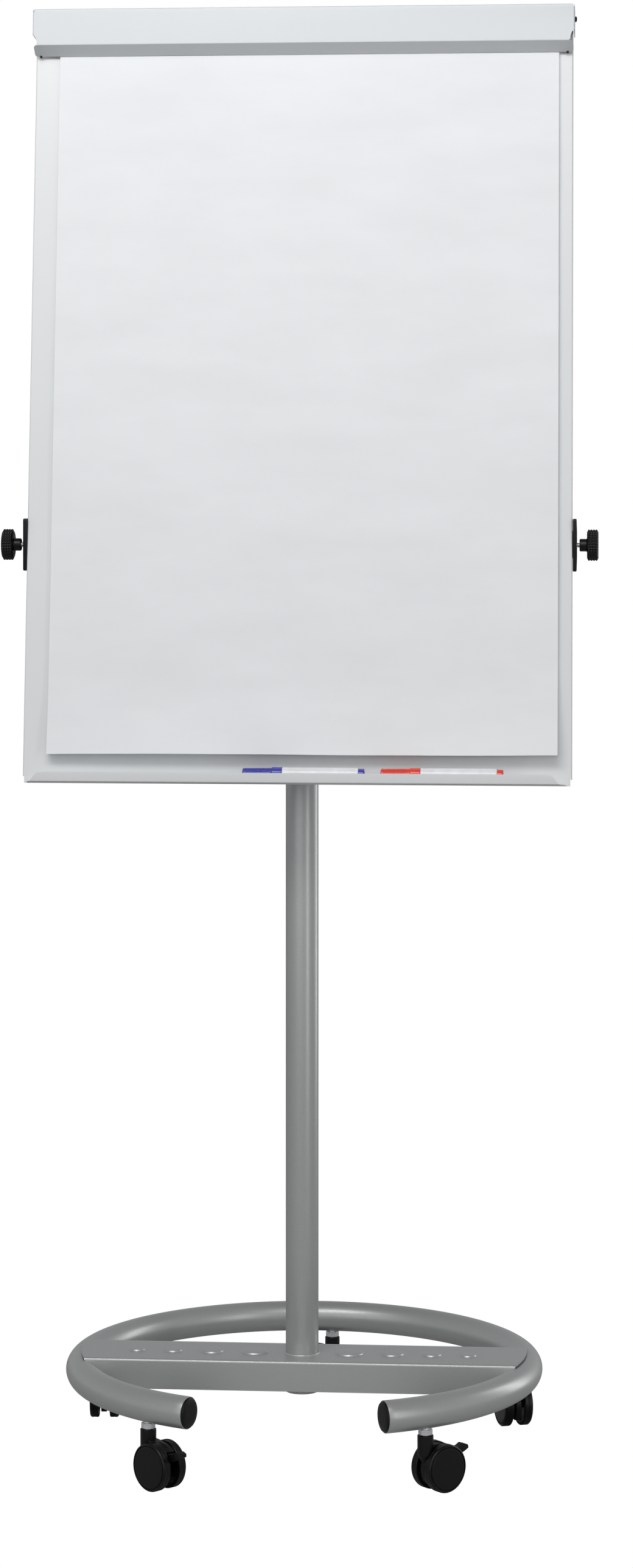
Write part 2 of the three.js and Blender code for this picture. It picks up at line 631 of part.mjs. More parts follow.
function boardGroup() {
  const group = new THREE.Group();
  group.position.set(0, pivot.y, pivot.z);
  group.rotation.x = -rad(pivot.tilt);
  group.add(
    piece('board_panel', boardPanel(), 'white'),
    piece('board_stiffener', rearStiffener(), 'white'),
    piece('tilt_screw_right', tiltScrew(1), 'zinc'),
    piece('tilt_screw_left', tiltScrew(-1), 'zinc'),
    piece('tilt_knob_right', tiltKnobBody(1), 'black'),
    piece('tilt_knob_left', tiltKnobBody(-1), 'black'),
    piece('pad_clamp_bar', clampBar(), 'white'),
    piece('clamp_rivet_right', clampRivet(1), 'black'),
    piece('clamp_rivet_left', clampRivet(-1), 'black'),
    piece('clamp_spring', clampSpring(), 'zinc'),
    piece('paper_pad', paperPad(), 'paper'),
    piece('pad_peg_right', padPeg(1), 'zinc'),
    piece('pad_peg_left', padPeg(-1), 'zinc'),
    markerGroup('blue', -64),
    markerGroup('red', 110.5),
  );
  return group;
}

// The origin lies on the floor under the middle of the easel's outline.
const easel = new THREE.Group();
easel.add(baseGroup(), mastGroup(), boardGroup());
const extent = new THREE.Box3().setFromObject(easel, true);
easel.position.set(-(extent.min.x + extent.max.x) / 2, -(extent.min.y + extent.max.y) / 2, 0);

export default easel;
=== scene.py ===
"""Flipchart easel on a ring base: the finished look of every part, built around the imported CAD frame."""

import json
import math
import random

import bmesh
import bpy
from mathutils import Matrix, Vector, noise


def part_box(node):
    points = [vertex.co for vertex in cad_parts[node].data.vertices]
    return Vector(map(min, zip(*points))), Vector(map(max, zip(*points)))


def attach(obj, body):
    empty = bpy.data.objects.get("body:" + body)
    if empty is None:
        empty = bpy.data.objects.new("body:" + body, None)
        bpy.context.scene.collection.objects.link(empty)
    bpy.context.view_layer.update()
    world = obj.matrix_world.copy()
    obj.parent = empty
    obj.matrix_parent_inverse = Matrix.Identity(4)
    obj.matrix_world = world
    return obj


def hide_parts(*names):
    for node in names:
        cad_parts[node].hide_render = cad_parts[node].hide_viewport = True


MM = 0.001
TAU = 2 * math.pi

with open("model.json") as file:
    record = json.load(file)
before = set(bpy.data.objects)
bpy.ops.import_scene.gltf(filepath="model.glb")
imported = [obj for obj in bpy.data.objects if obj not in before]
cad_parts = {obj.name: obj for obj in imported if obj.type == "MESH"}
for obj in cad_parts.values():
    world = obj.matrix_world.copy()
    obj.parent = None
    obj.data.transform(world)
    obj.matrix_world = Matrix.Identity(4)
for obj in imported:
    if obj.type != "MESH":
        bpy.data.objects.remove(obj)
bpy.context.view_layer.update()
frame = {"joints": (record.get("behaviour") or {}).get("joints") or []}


# ---------------------------------------------------------------- places, from the frame
def joint(name):
    return next(j for j in frame["joints"] if j["name"] == name)


def middle(node):
    low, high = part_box(node)
    return (low + high) / 2


POST = middle("post_tube")
AXIS_Y = POST.y / MM                      # the post's axis in the row frame, in mm
TILT_AXIS = Vector(joint("board_tilt")["pos_m"])
BOARD_UP = Vector(joint("blue_marker_lift")["axis"])
BOARD_BACK = BOARD_UP.cross(Vector((1, 0, 0)))
BOARD = Matrix.Translation(TILT_AXIS) @ Matrix(
    (Vector((1, 0, 0)), BOARD_BACK, BOARD_UP)).transposed().to_4x4()
BASE = Matrix.Translation((0, POST.y, 0))
HERE = Matrix.Identity(4)
SIDES = ((1, "right"), (-1, "left"))
CASTERS = ("caster_back", "caster_right", "caster_left", "caster_front_left", "caster_front_right")

# Sizes in millimetres, as the CAD source has them. The board's frame has its origin on the tilt axis.
RING_R, RING_TUBE, RING_WALL, RING_Z, RING_Y = 290, 20, 1.5, 100, 33
RING_GAP = math.radians(24.7)
POST_R, POST_WALL, POST_BOTTOM, POST_TOP = 21.2, 2, 74.5, 898
MAST_R, MAST_WALL, MAST_BOTTOM = 17.5, 1.8, 650
PIVOT_Z = TILT_AXIS.z / MM
BOARD_HALF, FACE, BOARD_TOP, BOARD_BOTTOM, FLANGE_BOTTOM = 350, -10, 692, -307, -298
TRAY_FRONT, LIP = -58, 12.2
BAR_HALF, BAR_TOP, BAR_FRONT, BAR_LOW, BAR_PIVOT = 352.2, 698, -34, 649.8, 685.5
LIP_TIP = (-15.6, 638.7)
PAD_W, PAD_H, PAD_T, PAD_X, PAD_BOTTOM = 650, 957, 4, 7, -270
PAD_BACK = FACE - 0.3
PEG_SPACING, PEG_Z = 235, 672


def side_name(side):
    return "right" if side > 0 else "left"


def facing(side):
    """Turns what is drawn for the right side to face the given side."""
    return Matrix.Rotation(0 if side > 0 else math.pi, 4, "Z")


# ---------------------------------------------------------------- mesh helpers, in millimetres
def make(name, verts, faces, place=BASE, sharp=35):
    """A mesh object from points in millimetres: in place, cleaned, and smooth up to the sharp angle."""
    mesh = bpy.data.meshes.new(name)
    mesh.from_pydata([place @ (Vector(v) * MM) for v in verts], [], faces)
    clean(mesh, sharp)
    obj = bpy.data.objects.new(name, mesh)
    bpy.context.scene.collection.objects.link(obj)
    return obj


def clean(mesh, sharp=35):
    bm = bmesh.new()
    bm.from_mesh(mesh)
    bmesh.ops.remove_doubles(bm, verts=bm.verts, dist=2e-6)
    bmesh.ops.dissolve_degenerate(bm, edges=bm.edges, dist=1e-6)
    bmesh.ops.recalc_face_normals(bm, faces=bm.faces)
    bm.to_mesh(mesh)
    bm.free()
    mesh.shade_smooth()
    mesh.set_sharp_from_angle(angle=math.radians(sharp))


def applied(obj, sharp=35):
    """Turns the object's modifiers into plain mesh."""
    depsgraph = bpy.context.evaluated_depsgraph_get()
    mesh = bpy.data.meshes.new_from_object(obj.evaluated_get(depsgraph))
    obj.modifiers.clear()
    obj.data = mesh
    clean(mesh, sharp)
    return obj


def bevelled(obj, width, segments=3, angle=30):
    bevel = obj.modifiers.new("edges", "BEVEL")
    bevel.width = width * MM
    bevel.segments = segments
    bevel.limit_method = "ANGLE"
    bevel.angle_limit = math.radians(angle)
    bevel.use_clamp_overlap = True
    return applied(obj)


def carved(obj, cutters, operation="DIFFERENCE", sharp=35):
    """Cuts the cutters away, or with INTERSECT keeps what lies inside them. The cutters are removed."""
    for cutter in cutters:
        modifier = obj.modifiers.new("cut", "BOOLEAN")
        modifier.operation = operation
        modifier.solver = "EXACT"
        modifier.object = cutter
    applied(obj, sharp)
    for cutter in cutters:
        bpy.data.objects.remove(cutter)
    return obj


def joined(name, objects):
    """One object from several; the others are removed."""
    bm = bmesh.new()
    for obj in objects:
        bm.from_mesh(obj.data)
    mesh = bpy.data.meshes.new(name)
    bm.to_mesh(mesh)
    bm.free()
    mesh.shade_smooth()
    mesh.set_sharp_from_angle(angle=math.radians(35))
    for obj in objects:
        bpy.data.objects.remove(obj)
    whole = bpy.data.objects.new(name, mesh)
    bpy.context.scene.collection.objects.link(whole)
    return whole


def lathe(profile, sides):
    """Points and faces of a profile of (radius, height) turned about Z."""
    def point(i, j):
        radius, height = profile[j]
        return (radius * math.cos(TAU * i / sides), radius * math.sin(TAU * i / sides), height)

    return grid(sides, len(profile), point, around=True)


def slab(name, outline, low, high, axis, place=BOARD):
    """A closed outline extruded between two places along an axis."""
    order = {"x": (2, 0, 1), "y": (0, 2, 1), "z": (0, 1, 2)}[axis]
    count = len(outline)
    verts = [tuple((u, v, w)[k] for k in order) for w in (low, high) for u, v in outline]
    faces = [(i, (i + 1) % count, count + (i + 1) % count, count + i) for i in range(count)]
    faces += [tuple(range(count)), tuple(range(count, 2 * count))]
    return make(name, verts, faces, place)


def grid(columns, rows, point, around=False):
    """A sheet of quads: point(i, j) gives each vertex; around closes it on itself along i."""
    verts = [point(i, j) for j in range(rows) for i in range(columns)]
    spans = columns if around else columns - 1
    faces = [(j * columns + i, j * columns + (i + 1) % columns,
              (j + 1) * columns + (i + 1) % columns, (j + 1) * columns + i)
             for j in range(rows - 1) for i in range(spans)]
    return verts, faces


def turn(verts, axis, angle):
    rotation = Matrix.Rotation(math.radians(angle), 3, axis)
    return [tuple(rotation @ Vector(v)) for v in verts]


def shift(verts, offset):
    return [(x + offset[0], y + offset[1], z + offset[2]) for x, y, z in verts]


def turned(name, profile, sides, place=BASE, lay=None, offset=(0, 0, 0), ring=False):
    """The profile turned about Z, laid over by (axis, angle), then moved. A ring's profile is closed."""
    verts, faces = lathe(profile + profile[:1] if ring else profile, sides)
    verts = turn(verts, *lay) if lay else verts
    return make(name, shift(verts, offset), faces, place)


def turned_along_y(name, profile, sides, place, offset):
    """The profile turned about an axis along Y: its heights are depths."""
    verts, faces = lathe(profile, sides)
    return make(name, shift([(x, z, y) for x, y, z in verts], offset), faces, place)


def rectangle(left, right, low, high):
    return [(left, low), (right, low), (right, high), (left, high)]


def fillet(points, radius, closed=True, steps=5):
    """The outline with its corners rounded. radius is one number, or one for each point."""
    count = len(points)
    radii = radius if isinstance(radius, (list, tuple)) else [radius] * count
    out = []
    for i, corner in enumerate(points):
        if radii[i] <= 0 or (not closed and i in (0, count - 1)):
            out.append(tuple(corner))
            continue
        p = Vector(corner).to_2d()
        before = Vector(points[i - 1]).to_2d() - p
        after = Vector(points[(i + 1) % count]).to_2d() - p
        half = before.angle(after) / 2
        reach = min(radii[i] / math.tan(half), 0.49 * before.length, 0.49 * after.length)
        r = reach * math.tan(half)
        centre = p + (before.normalized() + after.normalized()).normalized() * (r / math.sin(half))
        start = p + before.normalized() * reach - centre
        end = p + after.normalized() * reach - centre
        sweep = math.atan2(start.x * end.y - start.y * end.x, start.dot(end))
        for k in range(steps + 1):
            angle = sweep * k / steps
            c, s = math.cos(angle), math.sin(angle)
            out.append((centre.x + start.x * c - start.y * s, centre.y + start.x * s + start.y * c))
    return out


def bent_sheet(path, bend, thickness):
    """A sheet's closed section: the path is one face, the other is to its right, or left if negative."""
    line = fillet(path, bend, closed=False, steps=6)
    inner = []
    for i, point in enumerate(line):
        a = Vector(line[max(i - 1, 0)])
        b = Vector(line[min(i + 1, len(line) - 1)])
        along = (b - a).normalized()
        inner.append((point[0] + along.y * thickness, point[1] - along.x * thickness))
    return line + inner[::-1]


def copy(obj, name, place):
    twin = bpy.data.objects.new(name, obj.data.copy())
    twin.data.transform(place)
    twin.data.update()
    bpy.context.scene.collection.objects.link(twin)
    return twin


def place_piece(obj, body, finish, *nodes, slot=None):
    """Gives a piece its body and material, and lets it stand for its CAD nodes. The slot argument is not
    used.
    """
    obj.data.materials.clear()
    obj.data.materials.append(finish)
    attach(obj, body)
    if nodes:
        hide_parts(*nodes)
    return obj


# ---------------------------------------------------------------- materials
class Shader:
    """A Principled material and the nodes that feed it."""

    def __init__(self, name, color, roughness, metallic=0.0):
        self.material = bpy.data.materials.new(name)
        self.material.use_nodes = True
        self.tree = self.material.node_tree
        self.bsdf = self.tree.nodes["Principled BSDF"]
        self.coords = self.tree.nodes.new("ShaderNodeTexCoord")
        self.color = color
        self.set("Base Color", (*color, 1))
        self.set("Roughness", roughness)
        self.set("Metallic", metallic)

    def set(self, socket, value):
        self.bsdf.inputs[socket].default_value = value

    def link(self, source, target):
        self.tree.links.new(source, target)

    def noise(self, scale, detail=3.0, stretch=(1, 1, 1), roughness=0.5):
        mapping = self.tree.nodes.new("ShaderNodeMapping")
        mapping.inputs["Scale"].default_value = stretch
        texture = self.tree.nodes.new("ShaderNodeTexNoise")
        texture.inputs["Scale"].default_value = scale
        texture.inputs["Detail"].default_value = detail
        texture.inputs["Roughness"].default_value = roughness
        self.link(self.coords.outputs["Object"], mapping.inputs["Vector"])
        self.link(mapping.outputs["Vector"], texture.inputs["Vector"])
        return texture.outputs["Fac"]

    def between(self, source, low, high, start=0.3, end=0.7):
        """A number that follows the source from low to high."""
        node = self.tree.nodes.new("ShaderNodeMapRange")
        for socket, value in (("From Min", start), ("From Max", end), ("To Min", low), ("To Max", high)):
            node.inputs[socket].default_value = value
        self.link(source, node.inputs["Value"])
        return node.outputs["Result"]

    def tint(self, source, low, high):
        """The base colour times a factor that follows the source."""
        node = self.tree.nodes.new("ShaderNodeMix")
        node.data_type = "RGBA"
        node.inputs["A"].default_value = (*[c * low for c in self.color], 1)
        node.inputs["B"].default_value = (*[c * high for c in self.color], 1)
        self.link(self.between(source, 0, 1), node.inputs["Factor"])
        self.link(node.outputs["Result"], self.bsdf.inputs["Base Color"])

    def rough(self, source, low, high):
        self.link(self.between(source, low, high), self.bsdf.inputs["Roughness"])

    def bump(self, source, depth_mm, strength=1.0):
        node = self.tree.nodes.new("ShaderNodeBump")
        node.inputs["Distance"].default_value = depth_mm * MM
        node.inputs["Strength"].default_value = strength
        self.link(source, node.inputs["Height"])
        previous = self.bsdf.inputs["Normal"].links
        if previous:
            self.link(previous[0].from_socket, node.inputs["Normal"])
        self.link(node.outputs["Normal"], self.bsdf.inputs["Normal"])


def powder_silver():
    s = Shader("silver_powder_coat", (0.50, 0.507, 0.505), 0.36, 0.55)
    s.tint(s.noise(2600, 1), 0.86, 1.14)
    s.rough(s.noise(700, 2), 0.32, 0.42)
    s.bump(s.noise(900, 2), 0.03, 0.5)
    return s.material


def powder_white(name, color):
    s = Shader(name, color, 0.38)
    s.tint(s.noise(3, 2), 0.985, 1.015)
    s.rough(s.noise(500, 2), 0.34, 0.44)
    s.bump(s.noise(850, 2), 0.035, 0.5)
    s.set("Coat Weight", 0.15)
    s.set("Coat Roughness", 0.2)
    return s.material


def black_plastic():
    s = Shader("black_plastic", (0.0030, 0.0028, 0.0026), 0.36)
    s.set("Specular IOR Level", 0.3)
    s.tint(s.noise(60, 3), 0.85, 1.2)
    s.rough(s.noise(1400, 2), 0.3, 0.45)
    s.bump(s.noise(2200, 2), 0.04, 0.5)
    return s.material


def wheel_plastic():
    s = Shader("wheel_plastic", (0.0028, 0.0026, 0.0024), 0.34)
    s.set("Specular IOR Level", 0.3)
    s.tint(s.noise(45, 3), 0.8, 1.25)
    s.rough(s.noise(900, 3), 0.28, 0.42)
    s.bump(s.noise(2600, 2), 0.035, 0.5)
    return s.material


def bright_zinc():
    s = Shader("bright_zinc", (0.86, 0.88, 0.9), 0.28, 0.75)
    s.tint(s.noise(260, 3), 0.88, 1.08)
    s.rough(s.noise(900, 3), 0.2, 0.36)
    s.bump(s.noise(1500, 2), 0.02, 0.4)
    return s.material


def drawn_steel():
    s = Shader("drawn_steel", (0.5, 0.51, 0.52), 0.3, 1.0)
    s.tint(s.noise(60, 3, stretch=(14, 14, 0.4)), 0.9, 1.08)
    s.rough(s.noise(90, 3, stretch=(14, 14, 0.4)), 0.22, 0.38)
    s.bump(s.noise(120, 2, stretch=(14, 14, 0.3)), 0.02, 0.4)
    return s.material


def paper():
    s = Shader("pad_paper", (0.86, 0.875, 0.89), 0.85)
    s.tint(s.noise(14, 4, stretch=(0.6, 1, 1.6)), 0.975, 1.02)
    s.bump(s.noise(1800, 3), 0.03, 0.35)
    s.bump(s.noise(22, 4, stretch=(0.5, 1, 1.8)), 0.5, 0.35)
    s.set("Sheen Weight", 0.05)
    return s.material


def gloss(name, color, roughness=0.28):
    s = Shader(name, color, roughness)
    s.tint(s.noise(90, 2), 0.94, 1.05)
    s.rough(s.noise(700, 2), roughness - 0.05, roughness + 0.08)
    s.bump(s.noise(1200, 2), 0.015, 0.4)
    s.set("Coat Weight", 0.3)
    s.set("Coat Roughness", 0.12)
    return s.material


SILVER = powder_silver()
WHITE = powder_white("white_powder_coat", (0.78, 0.795, 0.803))
# The clamp bar's coat is the board's white made darker: painted shade for the bar's lip and face, which hang
# in shade.
BAR_WHITE_PAINTED_SHADE = powder_white("clamp_bar_coat_painted_shade", (0.632, 0.655, 0.673))
BLACK = black_plastic()
WHEEL = wheel_plastic()
ZINC = bright_zinc()
STEEL = drawn_steel()
PAPER = paper()
BLUE = gloss("marker_blue", (0.045, 0.05, 0.40))
RED = gloss("marker_red", (0.80, 0.045, 0.025))
CREAM = gloss("marker_white", (0.80, 0.81, 0.83), 0.32)


# ---------------------------------------------------------------- ring base
def ring_tube():
    """A bent tube with a wall, open at the front."""
    steps, around = 150, 40

    def skin(radius):
        def point(i, j):
            angle = -math.pi / 2 + RING_GAP + (TAU - 2 * RING_GAP) * j / steps
            across = TAU * i / around
            reach = RING_R + radius * math.cos(across)
            height = RING_Z + radius * math.sin(across)
            return (reach * math.cos(angle), RING_Y + reach * math.sin(angle), height)
        return point

    outer, faces = grid(around, steps + 1, skin(RING_TUBE), around=True)
    inner, _ = grid(around, steps + 1, skin(RING_TUBE - RING_WALL), around=True)
    count = len(outer)
    faces += [tuple(count + k for k in reversed(face)) for face in list(faces)]
    for row in (0, steps):
        for i in range(around):
            a, b = row * around + i, row * around + (i + 1) % around
            faces.append((a, b, count + b, count + a))
    tube = make("ring_tube", outer + inner, faces)
    return bevelled(tube, 0.45, 2, 50)


def end_cap(side):
    outline = [(0, -3.4), (12, -3.1), (17.6, -2.3), (19.3, -0.4), (19.3, 0), (17.6, 0), (17.4, 11), (0, 12)]
    verts, faces = lathe(fillet(outline, [0, 8, 1.2, 0.6, 0, 0, 0.8, 0]), 56)
    angle = -90 + side * math.degrees(RING_GAP)
    verts = turn(turn(verts, "X", -90 * side), "Z", angle)
    spot = (RING_R * math.cos(math.radians(angle)), RING_Y + RING_R * math.sin(math.radians(angle)), RING_Z)
    return make(f"end_cap_{side_name(side)}", shift(verts, spot), faces)


BAR_DEPTH, BAR_PLATE, BAR_SKIRT, BAR_SHEET = 52.5, 124, 85.5, 2
BAR_BEND, BEND_STEPS = 3.2, 6
BOSSES = ((61.5, 18.5), (117, 15.5), (168, 13), (215, 11))    # distance from the post, radius
BOSS_HEIGHT = 1.9


def crossbar():
    """The folded channel across the ring. Its skirts end along the round of the ring's tube."""
    deep = BAR_DEPTH
    channel = [(-deep, BAR_SKIRT), (-deep, BAR_PLATE), (deep, BAR_PLATE), (deep, BAR_SKIRT)]
    bent = fillet(channel, BAR_BEND, closed=False, steps=BEND_STEPS)
    front, back = bent[1:BEND_STEPS + 2], bent[BEND_STEPS + 2:-1]
    below = BAR_PLATE - BAR_BEND
    inside = deep - BAR_BEND
    flat = [(-inside + 2 * inside * k / 24, BAR_PLATE) for k in range(1, 24)]
    skirt = [BAR_SKIRT + (below - 0.3 - BAR_SKIRT) * k / 11 for k in range(12)]
    section = [(-deep, z) for z in skirt] + front + flat + back + [(deep, z) for z in reversed(skirt)]
    columns = 60

    def point(i, j):
        y, z = section[j]
        off_centre = min(abs(z - RING_Z), RING_TUBE)
        inset = math.sqrt(RING_TUBE ** 2 - off_centre ** 2) + 0.3
        reach = RING_R if z > below - 0.1 else RING_R - inset
        half = math.sqrt(reach * reach - (y - RING_Y) ** 2)
        return (half * (2 * i / (columns - 1) - 1), y, z)

    verts, faces = grid(columns, len(section), point)
    bar = make("crossbar_plate", verts, faces)
    thick = bar.modifiers.new("sheet", "SOLIDIFY")
    thick.thickness = BAR_SHEET * MM
    thick.offset = -1
    bar = applied(bar)
    post_hole = rectangle(0, POST_R + 0.4, BAR_PLATE - 14, BAR_PLATE + 16)
    bar = carved(bar, [turned("hole", post_hole, 64)])
    top = BAR_PLATE + BOSS_HEIGHT
    raised = []
    for centre, radius in BOSSES:
        outline = [(radius, BAR_PLATE - 0.5), (radius, BAR_PLATE), (radius - 1.2, top), (0, top)]
        profile = fillet(outline, [0, 0.3, 0.9, 0], closed=False)
        raised += [turned("boss", profile, 72, offset=(side * centre, 0, 0)) for side in (-1, 1)]
    return joined("crossbar_plate", [bar, *raised])


def weld_bead():
    """The fine, slightly uneven weld that joins the post to the crossbar."""
    ripples, around, rows = 46, 230, 8
    inner, seat = POST_R + 0.2, BAR_PLATE - 0.1

    def point(i, j):
        angle = TAU * i / around
        ripple = 0.5 + 0.5 * math.cos(angle * ripples)
        drift = noise.noise(Vector((math.cos(angle), math.sin(angle), 3.1)) * 2)
        size = 1.9 + 0.06 * ripple + 0.15 * drift
        slope = math.pi / 2 * j / (rows - 1)
        reach = inner + size * math.cos(slope)
        return (reach * math.cos(angle), reach * math.sin(angle), seat + size * math.sin(slope))

    verts, faces = grid(around, rows, point, around=True)
    count = len(verts)
    crest = count - around
    verts += [(inner * math.cos(TAU * i / around), inner * math.sin(TAU * i / around), seat)
              for i in range(around)]
    for i in range(around):
        k = (i + 1) % around
        faces += [(crest + i, crest + k, count + k, count + i), (count + i, count + k, k, i)]
    return make("weld_bead", verts, faces)


def post():
    profile = fillet(rectangle(POST_R - POST_WALL, POST_R, POST_BOTTOM, POST_TOP), 0.5, steps=3)
    return turned("post", profile, 72, ring=True)


def foot_plug():
    low = POST_BOTTOM + 0.6
    high = low + 21
    profile = fillet([(0, low + 1), (15, low + 1), (16, low), (18.8, low), (18.4, high), (0, high)],
                     [0, 0.5, 0.5, 0.6, 0.5, 0])
    return turned("foot_plug", profile, 56)


def guide_bush():
    low, brim = POST_TOP - 46, POST_TOP + 0.3
    high = brim + 3
    outline = [(17.8, low), (18.9, low), (18.9, brim), (20.8, brim), (20.8, high), (17.8, high)]
    return turned("guide_bush", fillet(outline, [0, 0.3, 0, 0.3, 1, 0.6]), 56, ring=True)


CLAMP_LOW, CLAMP_HIGH, CLAMP_R = 872, 896, 27
CLAMP_Z = (CLAMP_LOW + CLAMP_HIGH) / 2


def clamp_collar():
    profile = fillet(rectangle(POST_R + 0.3, CLAMP_R, CLAMP_LOW, CLAMP_HIGH), 1.4)
    sleeve = turned("sleeve", profile, 72, ring=True)
    profile = fillet([(4.4, 24), (10, 24), (9, 36), (4.4, 36)], [0, 0, 1.2, 0.5])
    boss = turned("boss", profile, 40, lay=("X", -90), offset=(0, 0, CLAMP_Z), ring=True)
    return joined("clamp_collar", [sleeve, boss])


def clamp_knob():
    """Six-lobed hand knob."""
    around, rim, face = 120, 21, 58
    rows = fillet([(0, 40), (rim, 40), (rim, face), (9, face), (7, face - 1.5), (0, face - 1.5)],
                  [0, 3.5, 4.5, 1, 0.6, 0])

    def point(i, j):
        r, y = rows[j]
        angle = TAU * i / around
        lobe = 1 - 0.15 * (0.5 - 0.5 * math.cos(6 * angle)) ** 1.4 * min(r / rim, 1) ** 3
        return (r * lobe * math.cos(angle), y, CLAMP_Z + r * lobe * math.sin(angle))

    verts, faces = grid(around, len(rows), point, around=True)
    return make("clamp_knob_grip", verts, faces)


def threaded_rod(name, radius, low, high, lay, place, pitch=1.0, offset=(0, 0, 0)):
    """A rod whose surface carries a real helical thread."""
    sides = 28
    rows = max(int((high - low) / pitch * 6), 4)

    def point(i, j):
        h = low + (high - low) * j / rows
        phase = (h / pitch - i / sides) % 1
        depth = 0.6 * pitch * abs(2 * phase - 1)
        near_end = min(h - low, high - h)
        r = radius - min(depth, radius * 0.2) if near_end > 0.01 else radius * 0.85
        return (r * math.cos(TAU * i / sides), r * math.sin(TAU * i / sides), h)

    verts, faces = grid(sides, rows + 1, point, around=True)
    faces += [tuple(range(sides)), tuple(range(rows * sides, (rows + 1) * sides))]
    verts = turn(verts, *lay) if lay else verts
    return make(name, shift(verts, offset), faces, place, sharp=60)


def hexagon(across_flats, low, high, chamfer):
    """A hexagon nut with its corners turned off at both ends."""
    corner, r = across_flats / math.sqrt(3), across_flats / 2
    outline = [(corner * math.cos(TAU * k / 6), corner * math.sin(TAU * k / 6)) for k in range(6)]
    wide = r + chamfer * 1.6
    cones = [(0, low - 1), (r - 0.3, low - 1), (r - 0.3, low), (wide, low + chamfer), (wide, high - chamfer),
             (r - 0.3, high), (r - 0.3, high + 1), (0, high + 1)]
    hull = turned("hull", cones, 48, HERE)
    return carved(slab("hex", outline, low, high, "z", HERE), [hull], "INTERSECT", sharp=20)


# ---------------------------------------------------------------- casters
TRAIL, WHEEL_IN, WHEEL_OUT = 21, 7.5, 19
AXLE_Z = joint("caster_back_roll_left")["pos_m"][2] / MM
AXLE = (TRAIL, 0, AXLE_Z)
LEVER_REACH, LEVER_ANGLE = 23, math.radians(38)
LEVER_AT = (TRAIL + LEVER_REACH * math.cos(LEVER_ANGLE), AXLE_Z + LEVER_REACH * math.sin(LEVER_ANGLE))
ROLL_STEP = 1.3                           # radians between the wheels of one caster and the next


def wheel_mesh():
    """The +Y wheel of a caster's pair: recessed inside, with a groove in its tread and one in its face."""
    r = AXLE_Z
    outline = [
        (0, 15.4), (3.3, 15.4), (3.3, WHEEL_IN), (6.6, WHEEL_IN), (7.2, 12.4), (23, 12.4), (24.4, WHEEL_IN),
        (r - 0.7, WHEEL_IN), (r, WHEEL_IN + 1), (r, 12.6), (r - 0.35, 12.8), (r - 0.35, 13.4), (r, 13.6),
        (r, WHEEL_OUT - 1.8), (r - 1.6, WHEEL_OUT - 0.2),
        (27.6, WHEEL_OUT - 0.2), (27.1, WHEEL_OUT - 0.5), (26.9, WHEEL_OUT - 1.6), (26.0, WHEEL_OUT - 1.6),
        (25.7, WHEEL_OUT - 0.5), (24.2, WHEEL_OUT - 0.15), (10, WHEEL_OUT), (0, WHEEL_OUT),
    ]
    radii = [0, 0, 0.2, 0.3, 0.8, 1, 0.5,
             0.4, 0.7, 0.1, 0.1, 0.1, 0.1,
             1.1, 1.0,
             0.4, 0.3, 0.3, 0.3,
             0.3, 1.5, 6, 0]
    return turned("wheel", fillet(outline, radii, steps=3), 88, HERE, ("X", -90), AXLE)


def wheel_clearance():
    """The room of the two wheels, to be cut from the neck."""
    return [turned_along_y("clear", rectangle(0, AXLE_Z + 0.9, low, high), 72, HERE, AXLE)
            for low, high in ((WHEEL_IN - 0.4, 24), (-24, -WHEEL_IN + 0.4))]


def arc(radius, start, end, steps=14, centre=(TRAIL, AXLE_Z)):
    """Points round the axle, or another centre, between two angles in degrees."""
    angles = [math.radians(start + (end - start) * k / steps) for k in range(steps + 1)]
    return [(centre[0] + radius * math.cos(a), centre[1] + radius * math.sin(a)) for a in angles]


def housing_mesh():
    """Neck, hood, web and rib of the caster's fork, one moulded piece."""
    outline = [(5.8, 45), (5.8, 70.6), (7.6, 71.1), (7.8, 72), (9.3, 72), (10, 71.2), (9.9, 47), (3.2, 34),
               (0, 34), (0, 45)]
    profile = fillet(outline, [0, 0.3, 0.3, 0.2, 0.5, 0.5, 5, 1.5, 0, 0])
    neck = carved(turned("neck", profile, 56, HERE, ring=True), wheel_clearance())
    hood_line = [(1, 30), (1, 60.5), (12, 59.8), *arc(28.4, 84, 45), *arc(5.3, 100, 215, 8, LEVER_AT),
                 (TRAIL, AXLE_Z)]
    hood = bevelled(slab("hood", hood_line, -6.8, 6.8, "y", HERE), 0.7)
    web_line = [(TRAIL + 11, AXLE_Z + 11), *arc(26.3, 104, 226), (3.4, 10.6), (TRAIL + 10, 10.6),
                (TRAIL + 17, AXLE_Z - 8)]
    web = bevelled(slab("web", web_line, -3.8, 3.8, "y", HERE), 0.6)
    rib = bevelled(slab("rib", arc(29.2, 92, 60) + arc(27.5, 60, 92), -1.1, 1.1, "y", HERE), 0.4)
    return joined("housing", [neck, hood, web, rib])


def stem_mesh():
    nut = hexagon(15.4, 72.3, 79.7, 0.9)
    rod = threaded_rod("thread", 4, 70, 97, None, HERE, pitch=1.25)
    pin = turned("pin", [(0, 45.5), (4.8, 45.5), (5.5, 46.5), (5.5, 72.6), (0, 72.6)], 32, HERE)
    washer = turned("washer", fillet([(4.2, 79.6), (7.0, 79.6), (6.2, 81.3), (4.2, 81.3)], 0.3), 32, HERE)
    return joined("stem", [nut, rod, pin, washer])


def axle_mesh():
    return turned_along_y("axle", fillet(rectangle(0, 3, -15, 15), [0, 0.5, 0.5, 0]), 28, HERE, AXLE)


